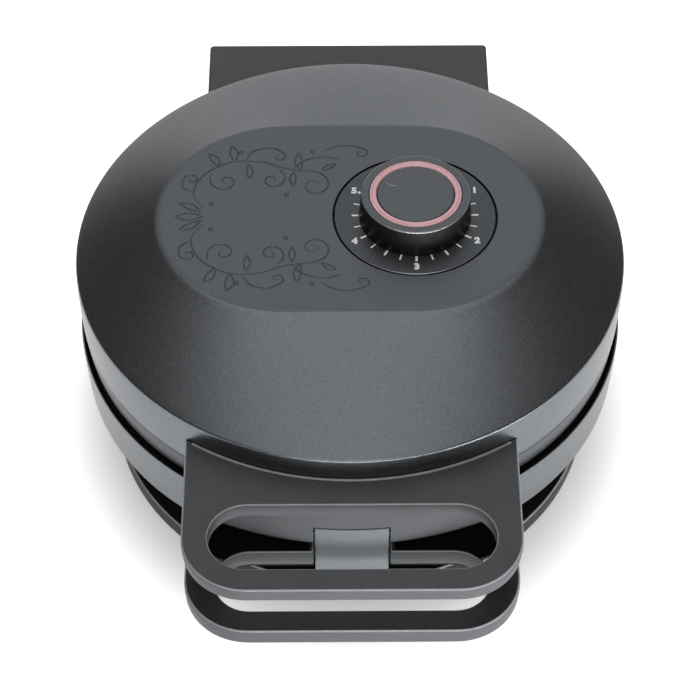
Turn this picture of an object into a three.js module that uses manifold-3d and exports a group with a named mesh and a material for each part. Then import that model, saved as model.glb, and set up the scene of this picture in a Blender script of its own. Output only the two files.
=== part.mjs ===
// Krumkake maker: a countertop iron with two round cast plates, a hinged lid with a temperature knob,
// bar handles at the front and a cord store under the bowl.
// Lengths are millimetres. +Z is up from the table, the handles point along -Y, and the hinge is at +Y.
// Plan positions are measured from the lid's axis until the last group centres the whole object.

import * as THREE from 'three';
import { mergeVertices } from 'three/addons/utils/BufferGeometryUtils.js';
import Module from 'manifold-3d';

const wasm = await Module();
wasm.setup();

// Driving dimensions: heights, from the table upwards
const footProud = 1.2;
const lipHeight = 9;
const storeHeight = 38.1;
const bandHeight = 24.5;
const rimGap = 0.8;
const frameBand = 8.9;
const skirtHeight = 30;
const domeRise = 21;
const knobHeight = 14;

// Driving dimensions: radii and plan sizes
const lidRadius = 125;
const skirtDraft = 1.8;
const frameStep = 0.1;
const frameDraft = 0.2;
const housingProud = 0.6;
const bandDraft = 1.2;
const lipInset = 11;
const lipDraft = 0.5;
const storeDepth = 23.4;
const plateInset = 13.3;
const plateauRadius = 58;
const plateauCentre = 29;
const handleLength = 58.2;
const hingeLength = 27;
const handleWidth = 142.5;
const handleCorner = 28;
const handleThick = 7.5;
const handleDrop = 11.6;
const lowerHandleDrop = 1;
const hingeWidth = 138.5;

// Walls, clearances and finishes shared by several pieces
const wall = 2.4;
const coverWall = 2.8;
const fit = 0.3;
const turnedFit = 0.6;
const overrun = 4;
const mergeTolerance = 0.0001;
const softEdge = 0.8;
const sheetSteel = 0.8;

// Counts of facets
const rimSteps = 36;
const ringSteps = 28;
const plateSteps = 28;
const shieldSteps = 20;
const knobSteps = 24;
const smallSteps = 10;
const screwSteps = 6;
const curveSteps = 5;
const leafSteps = 3;
const ventSteps = 2;
const barrelSteps = 16;

// Radii and reaches that follow the lid's
const skirtLowRadius = lidRadius - skirtDraft;
const frameTopRadius = skirtLowRadius - frameStep;
const frameLowRadius = frameTopRadius - frameDraft;
const housingRadius = lidRadius + housingProud;
const bandLowRadius = housingRadius - bandDraft;
const lipTopRadius = bandLowRadius - lipInset;
const lipLowRadius = lipTopRadius - lipDraft;
const drumRadius = lipTopRadius - storeDepth;
const handleReach = lidRadius + handleLength;
const hingeReach = lidRadius + hingeLength;

// Levels that several pieces share
const lipTop = footProud + lipHeight;
const bandLow = lipTop + storeHeight;
const housingTop = bandLow + bandHeight;
const lidLow = housingTop + rimGap;
const frameTop = lidLow + frameBand;
const skirtLow = frameTop + fit;
const lidEdge = skirtLow + skirtHeight;
const plateauTop = lidEdge + domeRise;
const parting = (housingTop + lidLow) / 2;
const handleTop = lidEdge - handleDrop;
const handleLow = handleTop - handleThick;
const lowerHandleTop = housingTop - lowerHandleDrop;
const lowerHandleLow = lowerHandleTop - handleThick;
const halfTurn = Math.PI;
const degree = Math.PI / 180;

// Solids from three.js geometry

// A closed geometry as a solid that can be joined and cut, with its faces pointing out.
function solidFrom(geometry) {
  const loose = geometry.index ? geometry.toNonIndexed() : geometry;
  const bare = new THREE.BufferGeometry();
  bare.setAttribute('position', loose.getAttribute('position').clone());
  const merged = mergeVertices(bare, mergeTolerance);
  const index = merged.index.array;
  const kept = [];
  for (let i = 0; i < index.length; i += 3) {
    const [a, b, c] = [index[i], index[i + 1], index[i + 2]];
    if (a !== b && b !== c && c !== a) kept.push(a, b, c);
  }
  const vertProperties = merged.attributes.position.array;
  if (signedVolume(vertProperties, kept) < 0) {
    for (let i = 0; i < kept.length; i += 3) [kept[i + 1], kept[i + 2]] = [kept[i + 2], kept[i + 1]];
  }
  return new wasm.Manifold(new wasm.Mesh({ numProp: 3, vertProperties, triVerts: new Uint32Array(kept) }));
}

function signedVolume(position, index) {
  const corner = (i) => new THREE.Vector3().fromArray(position, index[i] * 3);
  let sum = 0;
  for (let i = 0; i < index.length; i += 3) sum += corner(i).dot(corner(i + 1).cross(corner(i + 2)));
  return sum;
}

function geometryFrom(solid) {
  const made = solid.getMesh();
  const geometry = new THREE.BufferGeometry();
  geometry.setAttribute('position', new THREE.BufferAttribute(new Float32Array(made.vertProperties), 3));
  geometry.setIndex(new THREE.BufferAttribute(new Uint32Array(made.triVerts), 1));
  geometry.computeVertexNormals();
  return geometry;
}

// A profile of [radius, height] pairs turned about the Z axis. It closes on itself or ends on the axis.
function turned(profile, steps) {
  const points = profile.map(([radius, height]) => new THREE.Vector2(radius, height));
  const onAxis = profile[0][0] === 0;
  if (!onAxis) points.push(points[0].clone());
  return solidFrom(new THREE.LatheGeometry(points, steps).rotateX(halfTurn / 2));
}

// A flat shape raised from one height to another, with an edge drawn in all round.
function slab(shape, low, high, edge = 0, curveSegments = curveSteps) {
  const settings = { depth: high - low - 2 * edge, curveSegments, steps: 1, bevelEnabled: edge > 0 };
  Object.assign(settings, { bevelSize: edge, bevelThickness: edge, bevelOffset: -edge, bevelSegments: 1 });
  return solidFrom(new THREE.ExtrudeGeometry(shape, settings).translate(0, 0, low + edge));
}

function block(x, y, z) {
  const [width, depth, height] = [x, y, z].map(([low, high]) => high - low);
  const [cx, cy, cz] = [x, y, z].map(([low, high]) => (low + high) / 2);
  return solidFrom(new THREE.BoxGeometry(width, depth, height).translate(cx, cy, cz));
}

// Turns a solid made along Z so that its length lies along X or Y, and moves it.
function placed(solid, axis, x, y, z) {
  const turn = { x: [0, 90, 0], y: [-90, 0, 0], z: [0, 0, 0], down: [180, 0, 0] }[axis];
  return solid.rotate(turn).translate([x, y, z]);
}

function rod(radius, low, high, steps = smallSteps) {
  return turned([[0, low], [radius, low], [radius, high], [0, high]], steps);
}

// A rod between two levels given in any order
function rodBetween(radius, ends, steps = smallSteps) {
  return rod(radius, Math.min(...ends), Math.max(...ends), steps);
}

const everywhere = 10 * lidRadius;

// The same solid for each of some angles about the Z axis, joined.
function around(solid, angles) {
  return angles.map((angle) => solid.rotate([0, 0, angle])).reduce((all, one) => all.add(one));
}

const kit = new THREE.Group();

function piece(name, solid, { color, roughness, metalness }) {
  const mesh = new THREE.Mesh(
    geometryFrom(solid),
    new THREE.MeshStandardMaterial({ color, roughness, metalness }),
  );
  mesh.name = name;
  kit.add(mesh);
  return mesh;
}

// Finishes
const satinPaint = { color: 0x5d6066, roughness: 0.38, metalness: 0.5 };
const mattePlastic = { color: 0x36383b, roughness: 0.6, metalness: 0 };
const blackPlastic = { color: 0x18191a, roughness: 0.55, metalness: 0 };
const latchPlastic = { color: 0x5a6064, roughness: 0.5, metalness: 0 };
const castCoating = { color: 0x1f1f20, roughness: 0.5, metalness: 0.3 };
const plainSteel = { color: 0xa9abad, roughness: 0.35, metalness: 1 };
const softRubber = { color: 0x141414, roughness: 0.9, metalness: 0 };
const lightGuide = { color: 0xc98a8c, roughness: 0.3, metalness: 0 };
const whiteCeramic = { color: 0xe4e0d6, roughness: 0.5, metalness: 0 };
const boardGreen = { color: 0x2f6b46, roughness: 0.6, metalness: 0 };

// Screws: a pan head and a shank along +Z, the underside of the head at zero
function screw(headRadius, headHeight, shankRadius, length) {
  return turned([
    [0, -headHeight], [headRadius, -headHeight], [headRadius, 0],
    [shankRadius, 0], [shankRadius, length], [0, length],
  ], screwSteps);
}
const screwHeadRadius = 3;
const screwHeadHeight = 2;
const screwRadius = 1.5;
const screwHole = screwRadius + fit;
const holeBeyond = 1;
const bossWall = 1.6;
const bossRadius = screwHole + bossWall;

// Plates, elements and heat shields. Heights are measured away from the parting plane,
// downwards for the lower set and upwards for the upper set.
const bakingGap = 2;
const plateThick = 6;
const plateEdgeThick = 7.5;
const plateRadius = frameLowRadius - plateInset;
const plateBore = plateRadius + turnedFit;
const seatWidth = 4.7;
const seatBore = plateBore - seatWidth;
const seatThick = 2.4;
const moatDepth = 4.7;
const faceLevel = bakingGap / 2;
const backLevel = faceLevel + plateThick;
const edgeLevel = faceLevel + plateEdgeThick;
const seatLevel = edgeLevel + fit;
const seatBack = seatLevel + seatThick;
const shieldLevel = seatBack + fit;
const shieldDepth = 10;
const shieldFloor = shieldLevel + shieldDepth;
const shieldInset = 1.6;
const shieldFlange = 9.4;
const shieldDraft = 3.6;
const shieldRadius = plateRadius - shieldInset;
const shieldWallRadius = shieldRadius - shieldFlange;
const shieldFloorRadius = shieldWallRadius - shieldDraft;

const plateRim = 5.6;
const grooveWidth = 4.8;
const grooveDepth = 1.5;
const grooveSlope = 0.8;
const grooveOuter = plateRadius - plateRim;
const grooveInner = grooveOuter - grooveWidth;
const petalCount = 8;
const petalInner = 26;
const petalInset = 7.2;
const petalOuter = grooveInner - petalInset;
const petalWidth = 28;
const petalDepth = 0.6;
const elementOpening = 90;
const elementInset = 25;
const elementRadius = shieldFloorRadius - elementInset;
const elementTube = 3.3;
const elementGap = 38;
const elementLead = 6.6;
const elementSides = 6;
const elementSteps = 18;
const elementBend = 12;
const elementDrop = 16;
const elementBendShare = 0.25;
const kneeShare = 0.4;
const legSteps = 12;
const plateBossInset = 26;
const plateBossCircle = elementRadius - plateBossInset;
const plateBossAngles = [90, 210, 330];
const shieldHole = 5.5;

// A pointed leaf that lies along +X, from the inner to the outer radius.
function leafShape(inner, outer, width) {
  const middle = (inner + outer) / 2;
  const leaf = new THREE.Shape();
  leaf.moveTo(inner, 0);
  leaf.quadraticCurveTo(middle, -width, outer, 0);
  leaf.quadraticCurveTo(middle, width, inner, 0);
  return leaf;
}

// Level h above the plate's own back or face, as a height over the table.
function level(side, h) {
  return parting + side * h;
}

// A slab between two levels of one set.
function between(side, shape, nearLevel, farLevel) {
  const ends = [level(side, nearLevel), level(side, farLevel)];
  return slab(shape, Math.min(...ends), Math.max(...ends), 0, leafSteps);
}

function castPlate(side) {
  const at = (h) => level(side, h);
  const profile = [
    [0, at(faceLevel)], [grooveInner, at(faceLevel)],
    [grooveInner + grooveSlope, at(faceLevel + grooveDepth)],
    [grooveOuter - grooveSlope, at(faceLevel + grooveDepth)], [grooveOuter, at(faceLevel)],
    [plateRadius - softEdge, at(faceLevel)], [plateRadius, at(faceLevel + softEdge)],
    [plateRadius, at(edgeLevel)], [seatBore - turnedFit, at(edgeLevel)],
    [seatBore - plateEdgeThick / 2, at(backLevel)], [0, at(backLevel)],
  ];
  const petal = leafShape(petalInner, petalOuter, petalWidth);
  const petalAngles = Array.from({ length: petalCount }, (_, i) => i * 360 / petalCount);
  const petals = around(between(side, petal, faceLevel + petalDepth, -overrun), petalAngles);
  const bossEnds = [at(backLevel - softEdge), at(shieldFloor - fit)];
  const boss = rodBetween(bossRadius, bossEnds).translate([plateBossCircle, 0, 0]);
  const holeEnds = [at(backLevel), at(shieldFloor + overrun)];
  const hole = rodBetween(screwHole, holeEnds).translate([plateBossCircle, 0, 0]);
  return turned(profile, plateSteps).subtract(petals)
    .add(around(boss, plateBossAngles)).subtract(around(hole, plateBossAngles));
}

// The heating tube: an open ring against the plate's back, with both ends bent away through the shield.
function elementPath(side) {
  const tubeLevel = level(side, backLevel + turnedFit + elementTube);
  const open = elementGap / 2 * degree;
  const sweep = 2 * halfTurn - 2 * open;
  const points = [];
  for (let i = 0; i <= elementSteps; i += 1) {
    const angle = elementOpening * degree + open + sweep * i / elementSteps;
    const point = new THREE.Vector3(Math.cos(angle), Math.sin(angle), 0);
    points.push(point.multiplyScalar(elementRadius).setZ(tubeLevel));
  }
  const leg = (point, sign) => {
    const along = new THREE.Vector3(-point.y, point.x, 0).normalize().multiplyScalar(sign * elementLead);
    const low = tubeLevel + side * elementDrop;
    const knee = point.clone().add(along);
    return [
      knee.clone().setZ(tubeLevel + side * elementBend * elementBendShare),
      knee.clone().add(along.clone().multiplyScalar(kneeShare)).setZ(tubeLevel + side * elementBend),
      knee.clone().add(along.clone().multiplyScalar(kneeShare)).setZ(low),
    ];
  };
  const start = leg(points[0], -1).reverse();
  const end = leg(points[points.length - 1], 1);
  return new THREE.CatmullRomCurve3([...start, ...points, ...end]);
}

function heatingElement(side) {
  const section = new THREE.Shape();
  const corners = Array.from({ length: elementSides }, (_, i) => 2 * halfTurn * i / elementSides);
  corners.forEach((angle, i) => {
    const [x, y] = [elementTube * Math.cos(angle), elementTube * Math.sin(angle)];
    if (i === 0) section.moveTo(x, y);
    else section.lineTo(x, y);
  });
  section.closePath();
  const steps = elementSteps + legSteps;
  const settings = { steps, bevelEnabled: false, extrudePath: elementPath(side) };
  return solidFrom(new THREE.ExtrudeGeometry(section, settings));
}

function heatShield(side) {
  const at = (h) => level(side, h);
  const near = shieldLevel;
  const far = shieldFloor;
  const pan = turned([
    [0, at(far)], [shieldFloorRadius, at(far)], [shieldWallRadius, at(near)], [shieldRadius, at(near)],
    [shieldRadius, at(near + sheetSteel)], [shieldWallRadius + sheetSteel, at(near + sheetSteel)],
    [shieldFloorRadius + sheetSteel, at(far + sheetSteel)], [0, at(far + sheetSteel)],
  ], shieldSteps);
  const ends = [at(far - overrun), at(far + overrun)];
  const screwHoles = around(rodBetween(screwHole, ends).translate([plateBossCircle, 0, 0]), plateBossAngles);
  const path = elementPath(side);
  const legHoles = [0, 1].map((share) => {
    const end = path.getPoint(share);
    return rodBetween(shieldHole, ends).translate([end.x, end.y, 0]);
  });
  return pan.subtract(screwHoles).subtract(legHoles[0]).subtract(legHoles[1]);
}

function plateSet(prefix, side) {
  piece(`${prefix}_plate`, castPlate(side), castCoating);
  piece(`${prefix}_element`, heatingElement(side), plainSteel);
  piece(`${prefix}_heat_shield`, heatShield(side), plainSteel);
  const under = level(side, shieldFloor + sheetSteel + fit);
  const one = screw(screwHeadRadius, screwHeadHeight, screwRadius, shieldDepth);
  plateBossAngles.forEach((angle, i) => {
    const upright = side < 0 ? one : one.rotate([180, 0, 0]);
    const set = upright.translate([plateBossCircle, 0, under]).rotate([0, 0, angle]);
    piece(`${prefix}_plate_screw_${i + 1}`, set, plainSteel);
  });
}

// Base plate with its lip, foot cups and the spigot that locates the drum
const spigotHeight = 4;
const footRadius = 8.5;
const footInset = 16.4;
const footCircle = lipTopRadius - footInset;
const footHeight = lipTop - wall - fit;
const footAngles = [50, 130, 230, 310];
const footChamfer = 0.7;
const ribAngles = [0, 60, 120, 180, 240, 300];
const ribInner = 42;
const ribInset = 1.9;
const ribOuter = lipTopRadius - ribInset;
const ribThick = 1.6;
const ribDrop = 3;
const ventRows = 5;
const ventPitch = 9;
const ventLength = 46;
const ventWidth = 3.6;
const baseScrewCircle = drumRadius - wall - bossRadius;
const baseScrewAngles = [30, 150, 270];
const longScrewLength = 16;

function basePlate() {
  const spigotRadius = drumRadius - wall - turnedFit;
  const under = lipTop - wall;
  const shell = turned([
    [0, lipTop], [spigotRadius - wall, lipTop], [spigotRadius - wall, lipTop + spigotHeight],
    [spigotRadius, lipTop + spigotHeight], [spigotRadius, lipTop],
    [lipTopRadius - softEdge, lipTop], [lipTopRadius, lipTop - softEdge],
    [lipLowRadius, footProud], [lipLowRadius - wall, footProud], [lipTopRadius - wall, under], [0, under],
  ], ringSteps);
  const cup = turned([
    [footRadius + fit, footProud + fit], [footRadius + fit + wall, footProud + fit],
    [footRadius + fit + wall, under + softEdge], [footRadius + fit, under + softEdge],
  ], smallSteps).translate([footCircle, 0, 0]);
  const hole = rod(screwHole, -overrun, lipTop + overrun, screwSteps).translate([baseScrewCircle, 0, 0]);
  const ribHeights = [under - ribDrop, lipTop - wall / 2];
  const rib = block([ribInner, ribOuter], [-ribThick / 2, ribThick / 2], ribHeights);
  const clear = rod(bossRadius + turnedFit, lipTop, lipTop + spigotHeight + overrun, smallSteps);
  return shell.add(around(cup, footAngles)).add(around(rib, ribAngles)).subtract(vents())
    .subtract(around(hole, baseScrewAngles))
    .subtract(around(clear.translate([baseScrewCircle, 0, 0]), baseScrewAngles));
}

// Rows of slots that let the warm air out from inside the drum
function vents() {
  const slot = new THREE.Shape();
  slot.absarc(ventLength / 2, 0, ventWidth / 2, -halfTurn / 2, halfTurn / 2, false);
  slot.absarc(-ventLength / 2, 0, ventWidth / 2, halfTurn / 2, -halfTurn / 2, false);
  slot.closePath();
  const one = slab(slot, footProud, lipTop + overrun, 0, ventSteps);
  const first = -ventPitch * (ventRows - 1) / 2;
  const rows = Array.from({ length: ventRows }, (_, i) => one.translate([0, first + i * ventPitch, 0]));
  return rows.reduce((all, row) => all.add(row));
}

function rubberFoot() {
  return turned([
    [0, 0], [footRadius - footChamfer, 0], [footRadius, footChamfer],
    [footRadius, footHeight], [0, footHeight],
  ], smallSteps);
}

// Drum that the cord is wound on, with the bosses for the screws from both ends
const bowlFall = 6.8;
const hubLow = bandLow - bowlFall;
const drumTop = hubLow - fit;

function cordDrum() {
  const low = lipTop + fit;
  const tube = turned([
    [drumRadius - wall, low], [drumRadius, low], [drumRadius, drumTop], [drumRadius - wall, drumTop],
  ], ringSteps);
  const boss = rod(bossRadius, low, drumTop).translate([baseScrewCircle, 0, 0]);
  const web = block([baseScrewCircle, drumRadius - wall / 2], [-bossWall, bossWall], [low, drumTop]);
  const holes = rod(screwHole, low - overrun, drumTop + overrun, screwSteps).translate([baseScrewCircle, 0, 0]);
  return tube.add(around(boss.add(web), baseScrewAngles)).subtract(around(holes, baseScrewAngles))
    .subtract(placed(rod(glandNeck + fit, drumRadius / 2, drumRadius + overrun), 'y', 0, 0, glandHeight));
}

// Cord gland at the rear of the drum
const glandLift = 15;
const glandHeight = lipTop + glandLift;
const glandNeck = 6;
const glandFlange = 9;
const glandFlangeThick = 2;
const glandSnout = 9;
const glandBore = 3.8;

function cordGland() {
  const seat = drumRadius + fit;
  const shoulder = seat + glandFlangeThick;
  const tip = shoulder + glandSnout;
  const bush = turned([
    [glandBore, drumRadius - wall - fit], [glandNeck, drumRadius - wall - fit], [glandNeck, seat],
    [glandFlange, seat], [glandFlange, shoulder], [glandNeck + softEdge, shoulder],
    [glandBore + bossWall, tip], [glandBore, tip],
  ], smallSteps);
  return placed(bush, 'y', 0, 0, glandHeight);
}

// Bowl of the base: the light band outside, a ledge with a seat for the plate inside
const rimLand = 0.8;
const bandCorner = 3;
const hubMargin = 3;
const hubFlange = 23;
const hubRadius = drumRadius + hubMargin;
const hubBore = hubRadius - hubFlange;
const bandBulgeShare = 0.67;
const cornerShare = 0.7;

function ledge(side, radius) {
  const at = (h) => level(side, h);
  return [
    [radius, at(moatDepth + seatThick)], [plateBore + wall, at(moatDepth + seatThick)],
    [plateBore + wall, at(seatBack)], [seatBore, at(seatBack)], [seatBore, at(seatLevel)],
    [plateBore, at(seatLevel)], [plateBore, at(moatDepth)], [radius, at(moatDepth)],
  ];
}

function lowerHousing() {
  const innerWall = bowlInside;
  const floorLow = bandLow - bandCorner;
  const bandMiddle = bandLowRadius + bandDraft * bandBulgeShare;
  const bowl = turned([
    [housingRadius, housingTop], [bandMiddle, (housingTop + bandLow) / 2], [bandLowRadius, bandLow],
    [bandLowRadius - bandCorner * (1 - cornerShare), bandLow - bandCorner * cornerShare],
    [bandLowRadius - bandCorner, floorLow], [hubRadius, hubLow], [hubBore, hubLow], [hubBore, hubLow + wall],
    [hubRadius, hubLow + wall], [bandLowRadius - bandCorner - wall, floorLow + wall],
    [bandLowRadius - wall, bandLow + wall], ...ledge(-1, innerWall), [housingRadius - rimLand, housingTop],
  ], rimSteps);
  const drumHoles = rod(screwHole, hubLow - overrun, hubLow + wall + overrun, screwSteps);
  return bowl.add(pads(lowerSeat, handleScrewSpread, lowerScrewLevel))
    .add(pads(hingeSeat, hingeScrewSpread, hingeScrewLevel))
    .subtract(around(drumHoles.translate([baseScrewCircle, 0, 0]), baseScrewAngles))
    .subtract(lowerHandleHoles()).subtract(hingeScrewHoles());
}

// Bar handles
const blockSink = 2.9;
const blockInset = 11.25;
const blockDepth = 16;
const blockDraft = 2.4;
const blockHalf = handleWidth / 2 - blockInset;
const blockLowRadius = lidRadius + blockDepth;
const blockTopRadius = blockLowRadius - blockDraft;
const barWidth = 10.6;
const barSide = 10.5;
const lowerBarWidth = 10.3;
const openingRelief = 1;
const slotRear = blockTopRadius;
const slotFront = handleReach - barWidth;
const slotHalf = handleWidth / 2 - barSide;
const openingRear = blockLowRadius + openingRelief;
const openingFront = handleReach - lowerBarWidth;
const handleScrewInset = 33.25;
const handleScrewSpread = handleWidth / 2 - handleScrewInset;
const handleScrewDepth = 9;
const handleScrewLift = 5.7;
const handleScrewLevel = skirtLow + handleScrewLift;
const webHeight = 14;
const webThick = 8.4;
const webInset = 16.25;
const webRadius = housingRadius + webThick;
const webHalf = handleWidth / 2 - webInset;
const lowerScrewLevel = lowerHandleLow - webHeight / 2;

function handleOutline(rearRadius) {
  const half = handleWidth / 2;
  const front = -handleReach;
  const corner = handleCorner;
  const rear = -Math.sqrt(rearRadius ** 2 - half ** 2);
  const outline = new THREE.Shape();
  outline.moveTo(-half, rear);
  outline.lineTo(-half, front + corner);
  outline.absarc(-half + corner, front + corner, corner, halfTurn, -halfTurn / 2, false);
  outline.lineTo(half - corner, front);
  outline.absarc(half - corner, front + corner, corner, -halfTurn / 2, 0, false);
  outline.lineTo(half, rear);
  outline.absarc(0, 0, rearRadius, Math.atan2(rear, half), Math.atan2(rear, -half), true);
  return outline;
}

function slotOutline(rear, front, half) {
  const radius = (front - rear) / 2;
  const middle = -(front + rear) / 2;
  const straight = half - (front - rear) / 2;
  const slot = new THREE.Path();
  slot.absarc(straight, middle, radius, -halfTurn / 2, halfTurn / 2, false);
  slot.absarc(-straight, middle, radius, halfTurn / 2, -halfTurn / 2, false);
  slot.closePath();
  return slot;
}

// A bar handle's plate, with the slot that the fingers go through.
function handlePlate(rearRadius, low, high, rear, front) {
  const outline = handleOutline(rearRadius);
  outline.holes.push(slotOutline(rear, front, slotHalf));
  return slab(outline, low, high, softEdge);
}

// Part of a turned ring that lies in front of the axis, cut off square on both sides.
function frontSector(profile, half) {
  return turned(profile, rimSteps).intersect(block([-half, half], [-everywhere, 0], [-everywhere, everywhere]));
}

const latchHalf = 15.4;
const latchSide = 0.5;
const latchInset = 0.5;
const latchTail = 8.5;
const latchThick = 3.8;
const latchPivotDrop = 3.1;
const latchPivotInset = 4.1;
const latchEye = 3;
const latchTop = skirtLow - latchInset;
const latchLow = lowerHandleLow - latchTail;
const latchPivotLevel = latchTop - latchPivotDrop;
const latchFace = blockLowRadius;
const latchPivotReach = blockLowRadius - latchPivotInset;
const latchPinRadius = 1.3;
const latchPinGrip = 3;
const lipReach = 3;
const lipDrop = 1.7;
const lipClearance = 0.6;
const notchClearance = 1.2;
const notchHalf = latchHalf + notchClearance;
const notchRear = latchFace - latchThick - lipReach - lipClearance;
const pocketDepth = 9.4;
const webPocketRadius = notchRear - lipReach - lipClearance * 2;

function upperHandle() {
  const rearRadius = skirtRadiusAt(handleTop) + turnedFit;
  const plate = handlePlate(rearRadius, handleLow, handleTop, slotRear, slotFront);
  const body = frontSector([
    [rearRadius, lidLow], [blockLowRadius, lidLow], [blockTopRadius, handleLow],
    [blockTopRadius, handleLow + blockSink], [rearRadius, handleLow + blockSink],
  ], blockHalf);
  const pocket = block(
    [-latchHalf - latchSide, latchHalf + latchSide],
    [-everywhere, -blockLowRadius + pocketDepth],
    [lidLow - overrun, latchTop + latchSide],
  );
  const pinHalf = latchHalf + latchSide + latchPinGrip + fit;
  const pinRod = rod(latchPinRadius + fit, -pinHalf, pinHalf, screwSteps);
  const pinHole = placed(pinRod, 'x', 0, -latchPivotReach, latchPivotLevel);
  return plate.add(body).subtract(pocket).subtract(pinHole).subtract(upperHandleHoles());
}

function lowerHandle() {
  const rearRadius = housingRadius + turnedFit;
  const plate = handlePlate(rearRadius, lowerHandleLow, lowerHandleTop, openingRear, openingFront);
  const web = frontSector([
    [rearRadius, lowerHandleLow - webHeight], [webRadius, lowerHandleLow - webHeight],
    [webRadius, lowerHandleLow + blockSink], [rearRadius, lowerHandleLow + blockSink],
  ], webHalf);
  const notch = block(
    [-notchHalf, notchHalf], [-openingRear - overrun, -notchRear],
    [lowerHandleLow - overrun, lowerHandleTop + overrun],
  );
  const pocket = block(
    [-notchHalf, notchHalf], [-everywhere, -webPocketRadius], [-overrun, lowerHandleLow],
  );
  return plate.add(web.subtract(pocket)).subtract(notch).subtract(lowerHandleHoles());
}

// Screws that hold the handles lie along Y, and go in from inside the skirt and the bowl.
// The head's flat is where its outer edge would meet the curved wall, on a pad that levels the seat.
function wallSeat(innerRadius, spread) {
  return Math.sqrt((innerRadius * facetShare) ** 2 - (spread + padRadius) ** 2);
}
const padRadius = screwHeadRadius + turnedFit;
const padLength = 2.8;
const facetShare = Math.cos(halfTurn / rimSteps);

function pads(seat, spread, z) {
  const far = seat + Math.sign(seat) * padLength;
  const pad = rod(padRadius, Math.min(seat, far), Math.max(seat, far));
  const [left, right] = pairAlongY(pad, spread, 0, z);
  return left.add(right);
}

function pairAlongY(solid, spread, y, z) {
  return [-spread, spread].map((x) => placed(solid, 'y', x, y, z));
}

function upperHandleHoles() {
  const bore = rod(screwHole, upperSeat - handleScrewDepth - holeBeyond, upperSeat + overrun, screwSteps);
  const [left, right] = pairAlongY(bore, handleScrewSpread, 0, handleScrewLevel);
  return left.add(right);
}

function lowerHandleHoles() {
  const bore = rod(screwHole, lowerSeat - handleScrewDepth - holeBeyond, lowerSeat + overrun, screwSteps);
  const [left, right] = pairAlongY(bore, handleScrewSpread, 0, lowerScrewLevel);
  return left.add(right);
}

// Hinge at the rear
const hingeDrop = 2.8;
const hingeInset = 14;
const hingeLevel = housingTop - hingeDrop;
const hingeY = hingeReach - hingeInset;
const barrelRadius = 9;
const cheekRadius = 10;
const cheekWidth = 13.2;
const cheekSink = 0.8;
const cheekInner = hingeWidth / 2 - cheekWidth;
const bracketHalf = cheekInner - fit;
const hingePinRadius = 2.5;
const hingePinHead = 5;
const hingePinHeadThick = 2;
const hingePinLength = 30;
const bracketThick = 6;
const bracketHeight = 22;
const hingeCorner = 2;
const hingeCoverWall = 3;
const hingeScrewInset = 25.75;
const hingeScrewSpread = bracketHalf - hingeScrewInset;
const hingeScrewDrop = 12;
const hingeScrewLevel = hingeLevel - hingeScrewDrop;

function hingeBracket() {
  const near = housingRadius + turnedFit;
  const low = housingTop - bracketHeight;
  const foot = turned([
    [near, low], [near + bracketThick, low], [near + bracketThick, housingTop], [near, housingTop],
  ], rimSteps).intersect(block([-bracketHalf, bracketHalf], [0, everywhere], [-everywhere, everywhere]));
  const barrel = placed(rod(barrelRadius, -bracketHalf, bracketHalf, barrelSteps), 'x', 0, hingeY, hingeLevel);
  const neck = block(
    [-bracketHalf, bracketHalf], [near - overrun, hingeY],
    [hingeLevel - barrelRadius, hingeLevel + barrelRadius / 2],
  ).subtract(rod(near, -everywhere, everywhere, rimSteps));
  const bore = placed(rod(hingePinRadius + fit, -everywhere, everywhere), 'x', 0, hingeY, hingeLevel);
  return foot.add(neck).add(barrel).subtract(bore).subtract(hingeScrewHoles());
}

function hingeScrewHoles() {
  const bore = rod(screwHole, hingeSeat - overrun, hingeSeat + handleScrewDepth + holeBeyond, screwSteps);
  const [left, right] = pairAlongY(bore, hingeScrewSpread, 0, hingeScrewLevel);
  return left.add(right);
}

const coverScrewSpread = hingeWidth / 2 - cheekWidth / 2;
const coverScrewDrop = 8;
const coverScrewLevel = handleTop - coverScrewDrop;

function hingeCoverHoles() {
  const bore = rod(screwHole, coverSeat - overrun, coverSeat + longScrewLength + holeBeyond, screwSteps);
  const [left, right] = pairAlongY(bore, coverScrewSpread, 0, coverScrewLevel);
  return left.add(right);
}

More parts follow.
